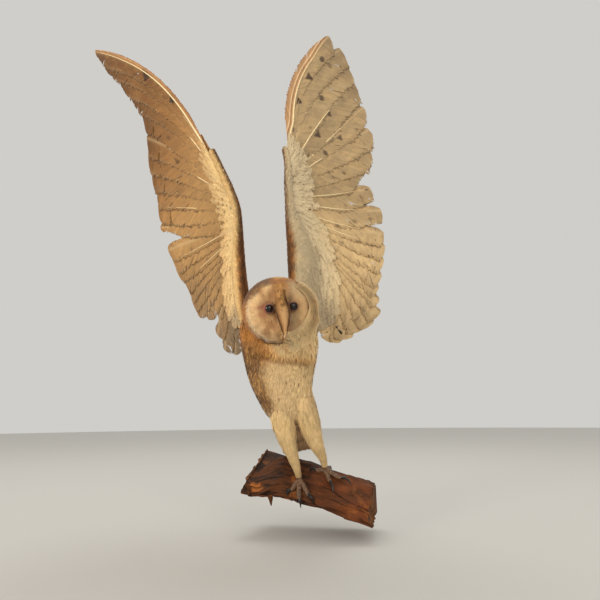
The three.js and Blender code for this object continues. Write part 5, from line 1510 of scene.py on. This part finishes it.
def bristles(n):
    """Short feathers that run down from the forehead over the root of the bill, as samples for the coat."""
    t = rng.uniform(-0.50, 0.80, n)
    edge = lerp(0.45, -0.55, sm(-0.1, 0.12, t))
    a = edge + rng.random(n) * (math.pi - 2 * edge)
    keep = rng.random(n) < sm(0.82, 0.60, t) * 0.8 + 0.2
    t, a = t[keep], a[keep]
    n = len(t)

    def at(t_, g):
        l_, u_, f_ = bill_point(t_, a, g + 1.7 * sm(-0.30, 0.10, t_) * (1 - sm(0.0, 0.7, t_)))
        l_ = l_ * np.interp(t_, [-0.5, -0.1, 0.1, 0.35, 0.6, 0.82], [1.6, 1.4, 1.3, 1.55, 1.6, 1.12])
        low_ = disc(l_, u_) + 0.5 + g
        f_ = lerp(np.maximum(low_ - 0.8, f_ - 40), f_, sm(-0.50, 0.14, t_))
        return on_head(l_, u_, f_)

    P = at(t, -0.25)
    N = unit(at(t, 1.0) - at(t, 0.0))
    D = unit(at(t + 0.05, 0.0) - at(t, 0.0))
    L = lerp(5.4, 3.0, sm(0.0, 0.5, t))
    l_, u_, f_ = head_lu(P)
    c = mix(lin((196, 146, 92)), lin((214, 168, 114)), sm(0.65, 0.95, np.sin(a)))
    c = mix(c, mix(lin((186, 130, 68)), lin((212, 160, 96)), sm(0.4, 0.6, noise(P, 4.0, 9))), 0.8 * sm(0.08, -0.12, t) * sm(5.5, 2.5, np.abs(l_)))
    c = mix(c, CROWN_D, 0.7 * sm(0.56, 0.66, noise(P, 1.7, 5)) * sm(0.22, 0.0, t) * sm(3.8, 1.8, np.abs(l_)))
    c = mix(c, lin((120, 70, 36)), 0.7 * sm(0.6, 0.1, np.sin(a)) * (l_ < 0) * sm(-0.05, 0.08, t))
    c = mix(c, lin((206, 170, 124)), 0.6 * sm(0.6, 0.0, np.sin(a)) * (l_ > 0))

    def path(L_, H_):
        m_, e_ = at(t + 0.5 * L_ / 37, 0.55 * H_), at(t + L_ / 37, H_)
        return m_, N, e_, N

    return dict(P=P, N=N, D=D, L=L, W=np.full(n, 1.0), H=lerp(0.9, 0.45, sm(0.0, 0.5, t)), col=c, reg=np.full(n, R_HEAD), a=l_, b=u_, n=n, path=path)


def ruff(n):
    """Loose feathers that run from the edge of the disc down over the side of the throat."""
    body_faces = ((REG[ST] == R_NECK) | (REG[ST] == R_TRUNK)).all(1)
    near_body = BVHTree.FromPolygons([tuple(p) for p in SV], [tuple(int(x) for x in f) for f in ST[body_faces]])
    ph_ = rng.uniform(rad(-97), rad(56), n)
    ph_ = ph_[rng.random(n) < lerp(0.1, 1.0, sm(rad(-97), rad(-84), ph_)) * lerp(0.25, 1.0, sm(rad(56), rad(30), ph_))]
    n = len(ph_)
    inner = lerp(0.74, 0.92, sm(rad(-50), rad(5), ph_))
    q_r = inner + rng.random(n) * (1.05 - inner)
    l_, u_ = 35 * q_r * np.cos(ph_), 33 * q_r * np.sin(ph_) - 2
    f_ = disc(l_, u_) - 0.5 - 11.0 * np.clip(q_r - 0.98, 0, 1)
    P = on_head(l_, u_, f_)
    out = unit(HL * (l_ / 35)[:, None] + HU * ((u_ + 2) / 33)[:, None])
    high = sm(rad(-12), rad(22), ph_)[:, None]
    q_s = sm(0.86, 1.0, q_r)
    D = unit((0.45 + 0.35 * high) * out - (1.0 - 0.25 * high) * ZUP - (0.10 + 0.35 * high) * HF + rng.normal(0, 0.07, (n, 3)))
    L = lerp(7.0, 19.0, q_s) * lerp(1.0, 0.46, sm(rad(-42), rad(-2), ph_)) * lerp(1.0, 0.8, sm(rad(0), rad(50), ph_)) * lerp(0.45, 1.0, sm(rad(-97), rad(-72), ph_)) * rng.uniform(0.85, 1.1, n)
    N = unit(HF * (1.0 - 0.4 * q_s)[:, None] + 0.5 * out * q_s[:, None])
    E, M_, NE = np.empty_like(P), np.empty_like(P), np.empty_like(P)
    for i in range(n):
        k_ = float(q_s[i]) * 0.85 * (1 - float(high[i, 0]))
        loc, no, _, _ = bvh.find_nearest(Vector(P[i]))
        no = A(no) if no.dot(Vector(N[i])) > 0 else -A(no)
        P[i] = lerp(A(loc) + 0.5 * no, P[i], float(q_s[i]))
        e0 = P[i] + D[i] * L[i]
        loc, n1_, _, _ = bvh.find_nearest(Vector(P[i] + 0.5 * D[i] * L[i]))
        n1_ = A(n1_) if n1_.dot(Vector(N[i])) > 0 else -A(n1_)
        M_[i] = lerp(A(loc) + 2.1 * n1_, 0.5 * (P[i] + e0) + 1.6 * N[i], float(q_s[i]))
        loc, n2_, _, _ = bvh.find_nearest(Vector(e0))
        n2_ = A(n2_) if n2_.dot(Vector(N[i])) > 0 else -A(n2_)
        e1 = lerp(A(loc) + 2.6 * n2_, e0, float(q_s[i]))
        loc, n3_, _, _ = near_body.find_nearest(Vector(e0))
        n3_ = A(n3_) if n3_.dot(Vector(N[i])) > 0 else -A(n3_)
        E[i] = lerp(e1, A(loc) + n3_ * 3.2, k_)
        NE[i] = n3_ if k_ > 0.5 else n2_
    c = mix(lin((238, 206, 152)), lin((222, 190, 140)), sm(rad(-50), rad(10), ph_))
    # painted shade: greyer inner ruff in the hollow at the disc's lower right
    c = mix(c, lin((176, 148, 114)), 0.55 * sm(0.94, 0.80, q_r) * sm(rad(-18), rad(-42), ph_) * sm(rad(-84), rad(-68), ph_))
    c = mix(c, lin((224, 168, 102)), 0.6 * sm(rad(-80), rad(-94), ph_))
    c = mix(c, lin((200, 142, 88)), 0.35 * np.exp(-((ph_ - rad(14)) / rad(9)) ** 2) * sm(0.93, 0.99, q_r))
    c = mix(c, lin((206, 180, 136)), 0.35 * sm(0.4, 0.7, noise(P, 5.0, 15)))

    def path(L_, H_):
        return M_, N, E, unit(NE)

    return dict(P=P, N=N, D=D, L=L, W=np.full(n, 2.0), H=np.full(n, 1.3), col=c, reg=np.full(n, R_HEAD), a=l_, b=u_, n=n, path=path)


def lid(s):
    """Bare eyelid: a rounded rim on the eyeball, small folds, then down into the face."""
    n = 84
    ph = 2 * np.pi * np.arange(n) / n
    rin = 4.25 * (1 + 0.055 * np.cos(2 * (ph - (0.25 if s > 0 else math.pi - 0.25))) - 0.05 * np.sin(ph) * (np.sin(ph) > 0))
    prof = [(-0.30, -0.30), (-0.06, 0.10), (0.10, 0.46), (0.42, 0.66), (0.80, 0.60), (1.05, 0.40), (1.35, 0.44), (1.75, 0.22),
            (2.15, 0.16), (2.7, -0.25), (3.4, -0.85), (4.3, -1.7), (5.2, -2.8)]
    rows = []
    for dr, df in prof:
        r = rin + dr
        upper = np.clip(np.sin(ph), 0, 1)
        hood = 0.28 * upper * math.exp(-((dr - 0.4) / 0.6) ** 2)
        base = EYE["fwd"] + np.sqrt(np.maximum(EYE["r"] ** 2 - np.minimum(r, 7.0) ** 2, 1))
        wr = 0.07 * np.sin(11 * ph + 3 * dr) * (0.8 < dr < 2.8)
        rows.append(on_head(s * EYE["side"] + r * np.cos(ph), EYE["up"] + r * np.sin(ph), base + df + hood + wr))
    V = np.stack(rows, 0)
    q = grid_faces(len(prof), n, True)
    if s > 0:
        pass
    t = np.repeat(A([p[0] for p in prof]), n)
    return V.reshape(-1, 3), q, t


def eyeball(s):
    n, m = 56, 72
    gaze = unit(HF + 0.10 * s * HL - 0.02 * HU)
    x = unit(np.cross(HU, gaze))
    y = np.cross(gaze, x)
    th = np.linspace(0.0, math.pi, n)[1:-1, None]
    ph = 2 * np.pi * np.arange(m)[None, :] / m
    r = EYE["r"] * (1 + 0.045 * np.exp(-(th / 0.42) ** 4))
    c = on_head(s * EYE["side"], EYE["up"], EYE["fwd"] - 0.25)
    P = c + (r * np.sin(th) * np.cos(ph))[..., None] * x + (r * np.sin(th) * np.sin(ph))[..., None] * y + (r * np.cos(th) + 0 * ph)[..., None] * gaze
    V, F = tube_mesh(P[::-1])
    ang = np.arccos(np.clip(dot(unit(V - c), np.broadcast_to(gaze, V.shape)), -1, 1))
    iris = sm(0.26, 0.31, ang) * sm(0.62, 0.55, ang)
    col = mix(lin((9, 7, 7)), lin((44, 26, 17)), iris * 0.8)
    col = mix(col, lin((70, 50, 42)), sm(0.62, 0.70, ang))
    return V, F, col


# ------------------------------------------------------------------- materials
def node_mat(name, rough, bump=0.15, bump_scale=900.0, vary=0.10, vary_scale=420.0, sheen=0.0, spec=0.5, sss=0.0, coat=0.0,
             stretch=(1, 1, 1), rough_vary=0.0, bump_dist=0.0004):
    m = bpy.data.materials.new(name)
    m.use_nodes = True
    nt = m.node_tree
    nt.nodes.clear()
    N = lambda t: nt.nodes.new(t)
    out, p = N("ShaderNodeOutputMaterial"), N("ShaderNodeBsdfPrincipled")
    nt.links.new(p.outputs[0], out.inputs[0])
    at = N("ShaderNodeAttribute")
    at.attribute_name = "Col"
    tc, mp, nz = N("ShaderNodeTexCoord"), N("ShaderNodeMapping"), N("ShaderNodeTexNoise")
    nt.links.new(tc.outputs["Object"], mp.inputs["Vector"])
    mp.inputs["Scale"].default_value = stretch
    nt.links.new(mp.outputs[0], nz.inputs["Vector"])
    nz.inputs["Scale"].default_value = vary_scale
    nz.inputs["Detail"].default_value = 3.0
    rmp = N("ShaderNodeMapRange")
    rmp.inputs["From Min"].default_value, rmp.inputs["From Max"].default_value = 0.3, 0.7
    rmp.inputs["To Min"].default_value, rmp.inputs["To Max"].default_value = 1 - vary, 1 + vary
    nt.links.new(nz.outputs["Fac"], rmp.inputs["Value"])
    mul = N("ShaderNodeVectorMath")
    mul.operation = "SCALE"
    nt.links.new(at.outputs["Color"], mul.inputs[0])
    nt.links.new(rmp.outputs[0], mul.inputs["Scale"])
    nt.links.new(mul.outputs[0], p.inputs["Base Color"])
    p.inputs["Roughness"].default_value = rough
    p.inputs["Specular IOR Level"].default_value = spec
    p.inputs["Sheen Weight"].default_value = sheen
    p.inputs["Sheen Roughness"].default_value = 0.45
    p.inputs["Coat Weight"].default_value = coat
    p.inputs["Coat Roughness"].default_value = 0.04
    if sss:
        p.inputs["Subsurface Weight"].default_value = sss
        p.inputs["Subsurface Radius"].default_value = (0.004, 0.002, 0.001)
        p.inputs["Subsurface Scale"].default_value = 0.3
    if rough_vary:
        r2 = N("ShaderNodeMapRange")
        r2.inputs["To Min"].default_value, r2.inputs["To Max"].default_value = rough - rough_vary, min(1, rough + rough_vary)
        nt.links.new(nz.outputs["Fac"], r2.inputs["Value"])
        nt.links.new(r2.outputs[0], p.inputs["Roughness"])
    if bump:
        nb, bp = N("ShaderNodeTexNoise"), N("ShaderNodeBump")
        nt.links.new(mp.outputs[0], nb.inputs["Vector"])
        nb.inputs["Scale"].default_value = bump_scale
        nb.inputs["Detail"].default_value = 4.0
        bp.inputs["Strength"].default_value = bump
        bp.inputs["Distance"].default_value = bump_dist
        nt.links.new(nb.outputs["Fac"], bp.inputs["Height"])
        nt.links.new(bp.outputs[0], p.inputs["Normal"])
    return m


M_COAT = node_mat("plumage", 0.78, bump=0.0, vary=0.07, vary_scale=500, sheen=0.18, spec=0.25)
M_FACE = node_mat("face_plumage", 0.75, bump=0.0, vary=0.06, vary_scale=700, sheen=0.20, spec=0.25)
M_FLIGHT = node_mat("flight_vane", 0.62, bump=0.25, bump_scale=1500, vary=0.08, vary_scale=380, sheen=0.12, spec=0.30, bump_dist=0.0002)
M_COVERT = node_mat("covert_vane", 0.72, bump=0.2, bump_scale=1700, vary=0.08, vary_scale=480, sheen=0.18, spec=0.25, bump_dist=0.0002)
M_SHAFT = node_mat("feather_shaft", 0.38, bump=0.1, bump_scale=1200, vary=0.08, vary_scale=240, spec=0.5)
M_SKIN = node_mat("bird_skin", 0.8, bump=0.5, bump_scale=900, vary=0.12, vary_scale=420, sheen=0.15, spec=0.25)
M_LID = node_mat("eyelid_skin", 0.45, bump=0.6, bump_scale=2600, vary=0.10, vary_scale=1500, spec=0.5)
M_TOE = node_mat("toe_scales", 0.55, bump=0.7, bump_scale=1800, vary=0.18, vary_scale=1100, spec=0.45)
M_BILL = node_mat("bill_horn", 0.34, bump=0.15, bump_scale=1300, vary=0.08, vary_scale=500, spec=0.5, stretch=(1, 1, 0.35))
M_CLAW = node_mat("claw_horn", 0.30, bump=0.2, bump_scale=1500, vary=0.15, vary_scale=700, spec=0.5)
M_EYE = node_mat("eye_glass", 0.07, bump=0.0, vary=0.05, vary_scale=900, spec=0.35, coat=0.25)
M_WOOD = node_mat("weathered_wood", 0.72, bump=0.9, bump_scale=520, vary=0.28, vary_scale=260, spec=0.22, stretch=(0.22, 1, 1),
                  rough_vary=0.12, bump_dist=0.0009)

# --------------------------------------------------------------------- assembly
made = []


def add(ob, slot_, *nodes):
    made.append(ob)
    if nodes:
        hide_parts(*nodes)
    return ob


# skin: one body, with the bare lids and the scaled toes joined to it
me = skin.data
loops = np.zeros(len(me.loops), np.int32)
me.loops.foreach_get("vertex_index", loops)
tot = np.zeros(len(me.polygons), np.int32)
me.polygons.foreach_get("loop_total", tot)
quads = loops.reshape(-1, 4) if (tot == 4).all() else ST
parts, pcol, pmat = [(SV, [quads])], [skin_col * 0.86], [0]
for s in (-1, 1):
    LV, LF, lt = lid(s)
    lc = mix(lin((82, 50, 38)), lin((150, 112, 84)), sm(0.4, 1.6, lt))
    ll, lu, _ = head_lu(LV)
    lc = mix(lc, lin((168, 84, 72)), 0.6 * sm(15.5, 18.5, -ll) if s < 0 else 0.5 * sm(12.5, 9.5, ll) * sm(0, -3, lu))
    lc = mix(lc, lin((44, 26, 22)), 0.85 * sm(0.35, -0.1, lt))
    parts.append((LV, [LF]))
    pcol.append(lc * (0.92 + 0.16 * noise(LV, 0.8, 7))[:, None])
    pmat.append(1)
toe_hair = []
claw_meshes = {}
for side in "rl":
    toes, claws, hairs = foot_parts(side)
    claw_meshes[side] = claws
    toe_hair += hairs
    for TV, TF in toes:
        parts.append((TV, TF))
        n_ = fbm(TV, 1.6, 77)
        pcol.append(mix(lin((120, 88, 60)), lin((82, 58, 40)), sm(0.35, 0.65, n_)))
        pmat.append(2)
V, F = join_meshes(parts)
counts = [(sum(len(f) for f in p[1] if f.shape[1] == 4), sum(len(f) for f in p[1] if f.shape[1] == 3)) for p in parts]
new = mesh_object("owl_skin_new", V, F, np.concatenate(pcol))
mi = np.concatenate([np.concatenate([np.full(c[0], k) for c, k in zip(counts, pmat)]),
                     np.concatenate([np.full(c[1], k) for c, k in zip(counts, pmat)])]).astype(np.int32)
new.data.polygons.foreach_set("material_index", mi)
for m_ in (M_SKIN, M_LID, M_TOE):
    new.data.materials.append(m_)
bpy.data.objects.remove(skin)
bpy.data.meshes.remove(me)
new.name = "owl_skin"
skin = new
add(skin, "body_feathers", "trunk", "neck", "head", "leg_r", "leg_l", "foot_r", "foot_l",
    *[f"wing_{s}_{k}" for s in "lr" for k in ("hand", "forearm", "upper_arm")])

# coat
tri_ok = lambda cond: cond[ST].all(1).astype(float)
R = REG
is_face = (R == R_HEAD) & (hfv > 2) & (hqv < 0.985)
eye_hole = deye < 5.2
is_body = (R == R_TRUNK) | (R == R_NECK)
left_v, front_v = body_angle(CB)


def body_tone(S, G, c):
    """Shaft streaks on the flank, small spots on the belly and the back."""
    n, B, m = G["shape"]
    P = S["P"]
    lf, fr = body_angle(S["b"])
    z = P[:, 2]
    mid_ = (np.abs(G["a"]) < 0.34)
    flank = sm(-0.35, -0.8, lf) * sm(184, 150, z) * sm(86, 104, z) * (fr > -0.75)
    st = (rng.random(n) < 0.55) * flank
    k = (st[:, None, None] * mid_ * sm(0.25, 0.6, G["t"]))
    c = mix(c, BROWN, 0.75 * k)
    belly = (rng.random(n) < 0.022) * sm(150, 138, z) * sm(84, 96, z) * sm(0.0, 0.35, fr)
    k = belly[:, None, None] * (np.abs(G["a"]) < 0.6) * (G["t"] > 0.62)
    c = mix(c, lin((82, 56, 36)), 0.9 * k)
    bk = (rng.random(n) < 0.11) * sm(-0.1, -0.5, fr)
    k = bk[:, None, None] * mid_ * (G["t"] > 0.55)
    c = mix(c, lin((66, 50, 38)), 0.85 * k)
    k = bk[:, None, None] * mid_ * (G["t"] > 0.90)
    c = mix(c, lin((236, 228, 208)), 0.9 * k)
    return c


q_ = 1.0
add(coat_piece("coat_face", tri_ok(is_face & ~eye_hole), 1.15 * q_, 2, 3, M_FACE, "face_feathers", var=0.05, jit=0.10, blade_w=0.8,
               rootsink=0.2, tiltn=0.25), "face_feathers")
add(coat_piece("coat_bristles", None, q_, 2, 3, M_FACE, "face_feathers", S=bristles(int(5400 * q_)), var=0.06, jit=0.10, blade_w=0.8,
               rootsink=0.1, tiltn=0.25), "face_feathers")
add(coat_piece("coat_ruff", None, q_, 3, 4, M_COAT, "face_feathers", S=ruff(int(4200 * q_)), var=0.05, jit=0.08,
               tone=lambda S, G, c: mix(c, lin((248, 214, 156)), 0.5 * sm(0.45, 1.0, G["t"]) * (sm(0.80, 0.95, rim_q(S["a"], S["b"])) * sm(rad(-86), rad(-72), np.arctan2(S["b"] + 2, S["a"])))[:, None, None])), "face_feathers")
add(coat_piece("coat_head", tri_ok((R == R_HEAD) & ~is_face), 1.1 * q_, 3, 3, M_COAT, "face_feathers", var=0.08, jit=0.12), "face_feathers")
add(coat_piece("coat_breast", tri_ok(is_body & (front_v > -0.05)), 1.25 * q_, 3, 3, M_COAT, "body_feathers", tone=body_tone, jit=0.10, var=0.055, blade_w=0.75, tiltn=0.22), "body_feathers")
add(coat_piece("coat_back", tri_ok(is_body & (front_v <= 0.05)), 1.0 * q_, 4, 3, M_COAT, "body_feathers", tone=body_tone), "body_feathers")
add(coat_piece("coat_legs", tri_ok((R == R_LEG_R) | (R == R_LEG_L)), 1.2 * q_, 3, 3, M_COAT, "body_feathers", var=0.05, jit=0.14), "body_feathers")
for side, rv, rd in (("l", R_WL_V, R_WL_D), ("r", R_WR_V, R_WR_D)):
    add(coat_piece(f"wing_{side}_lining", tri_ok(R == rv), 1.1 * q_, 3, 3, M_COAT, "wing_coverts", var=0.05, jit=0.15), "wing_coverts")
    add(coat_piece(f"wing_{side}_mantle", tri_ok(R == rd), 1.0 * q_, 4, 3, M_COAT, "wing_coverts", var=0.10, jit=0.10), "wing_coverts")

for side, w in wings.items():
    p, c, uv, sp, sc = build_flight(w)
    V, F = join_meshes(p)
    add(mesh_object(f"wing_{side}_flight", V, F, np.concatenate(c), np.concatenate(uv), mat=M_FLIGHT), "flight_feathers",
        f"wing_{side}_primaries", f"wing_{side}_secondaries", f"wing_{side}_tertials")
    print("flight", side, sum(len(f) * (f.shape[1] - 2) for f in F))
    V, F = join_meshes(sp)
    add(mesh_object(f"wing_{side}_shafts", V, F, np.concatenate(sc), mat=M_SHAFT), "flight_feathers")
    for under in (True, False):
        p, c, uv = covert_rows(w, under)
        V, F = join_meshes(p)
        add(mesh_object(f"wing_{side}_{'under' if under else 'upper'}_coverts", V, F, np.concatenate(c), np.concatenate(uv), mat=M_COVERT),
            "wing_coverts")
        print("coverts", side, under, len(p), sum(len(f) * (f.shape[1] - 2) for f in F))

p, c, uv, sp, sc = tail_feathers()
V, F = join_meshes(p)
add(mesh_object("tail_fan", V, F, np.concatenate(c), np.concatenate(uv), mat=M_FLIGHT), "flight_feathers", "tail")
V, F = join_meshes(sp)
add(mesh_object("tail_shafts", V, F, np.concatenate(sc), mat=M_SHAFT), "flight_feathers")

for s, side in ((1, "l"), (-1, "r")):
    V, F, c = eyeball(s)
    add(mesh_object(f"eyeball_{side}", V, F, c, mat=M_EYE), "eye", f"eye_{side}")
P, t, nos = bill_rings(False, 44, 28)
V, F = tube_mesh(P)
tt = np.concatenate([t.ravel(), [0, 1]])
nn = np.concatenate([nos.ravel(), [0, 0]])
c = mix(lin((196, 154, 112)), lin((218, 182, 138)), sm(0.5, 0.85, tt))
c = mix(c, lin((120, 84, 56)), 0.6 * sm(0.94, 1.0, tt))
bl_, _, _ = head_lu(V)
c = mix(c, lin((128, 78, 44)), 0.75 * sm(-0.5, -2.2, bl_) * sm(0.2, 0.5, tt))
c = mix(c, lin((60, 38, 30)), 0.9 * nn)
add(mesh_object("bill_horn_upper", V, F, c, mat=M_BILL), "bill", "bill_upper")
P, t, nos = bill_rings(True, 24, 22)
V, F = tube_mesh(P)
add(mesh_object("bill_horn_lower", V, F, np.tile(lin((178, 140, 104)), (len(V), 1)), mat=M_BILL), "bill", "bill_lower")
for side in "rl":
    for i, (V, F) in enumerate(claw_meshes[side]):
        c = mix(lin((52, 38, 30)), lin((20, 16, 15)), sm(-0.4, 0.5, fbm(V, 3.0, 5)))
        add(mesh_object(f"talon_{side}_{i + 1}", V, F, c, mat=M_CLAW), "claw", f"claw_{side}_{i + 1}")
V, F, c = log_mesh()
add(mesh_object("perch_log", V, F, c, mat=M_WOOD), "log_wood", "base_log")

for ob in made:
    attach(ob, "root")

# ------------------------------------------------------ floor, light and camera
def plain(name, rgb, rough=0.9):
    m = bpy.data.materials.new(name)
    m.use_nodes = True
    p = m.node_tree.nodes["Principled BSDF"]
    p.inputs["Base Color"].default_value = (*lin(rgb), 1)
    p.inputs["Roughness"].default_value = rough
    p.inputs["Specular IOR Level"].default_value = 0.2
    return m


low = CAD_BOX[0][2] if not isinstance(CAD_BOX, dict) else 0
fz = float(low) / MM - 14
a = 2 * np.pi * np.arange(96) / 96
V = np.concatenate([[[0, 0, fz]], np.c_[6000 * np.cos(a), 6000 * np.sin(a), np.full(96, fz)]])
F = np.c_[np.zeros(96, int), 1 + np.arange(96), 1 + (np.arange(96) + 1) % 96]
floor = mesh_object("floor", V, F, mat=plain("pale_floor", (214, 212, 207)), smooth=False)

world = bpy.context.scene.world or bpy.data.worlds.new("pale")
bpy.context.scene.world = world
world.use_nodes = True
bg = world.node_tree.nodes["Background"]
bg.inputs["Color"].default_value = (*lin((240, 238, 233)), 1)
bg.inputs["Strength"].default_value = 0.72


def area(name, loc, target, size, power, color):
    d = bpy.data.lights.new(name, "AREA")
    d.shape, d.size, d.energy, d.color = "DISK", size, power, color
    o = bpy.data.objects.new(name, d)
    o.location = loc
    o.rotation_euler = (Vector(target) - Vector(loc)).to_track_quat("-Z", "Y").to_euler()
    bpy.context.scene.collection.objects.link(o)


area("key", (-1.42, -2.85, 0.42), (-0.03, -0.1, 0.3), 1.0, 43, (1.0, 0.92, 0.80))
area("fill", (1.9, -2.6, 1.1), (0, -0.1, 0.3), 1.8, 26, (1.0, 0.96, 0.90))
area("top", (-0.2, 0.5, 1.9), (0, -0.1, 0.25), 1.2, 8, (1.0, 0.98, 0.95))

cam = bpy.data.cameras.new("camera")
cam.lens, cam.sensor_width, cam.sensor_fit = 27.0, 36.0, "HORIZONTAL"
cam.clip_start, cam.clip_end = 0.01, 100
co = bpy.data.objects.new("camera", cam)
bpy.context.scene.collection.objects.link(co)
cy, cp, cr = rad(15.2), rad(14.8), rad(-0.58)
fwd = A([-math.sin(cy) * math.cos(cp), math.cos(cy) * math.cos(cp), math.sin(cp)])
rr0 = A([math.cos(cy), math.sin(cy), 0.0])
uu0 = np.cross(rr0, fwd)
rgt = math.cos(cr) * rr0 + math.sin(cr) * uu0
upv = -math.sin(cr) * rr0 + math.cos(cr) * uu0
M = Matrix([[rgt[0], upv[0], -fwd[0], 0.1455], [rgt[1], upv[1], -fwd[1], -0.623], [rgt[2], upv[2], -fwd[2], 0.083], [0, 0, 0, 1]])
co.matrix_world = M
bpy.context.scene.camera = co
bpy.context.scene.view_settings.view_transform = "Standard"
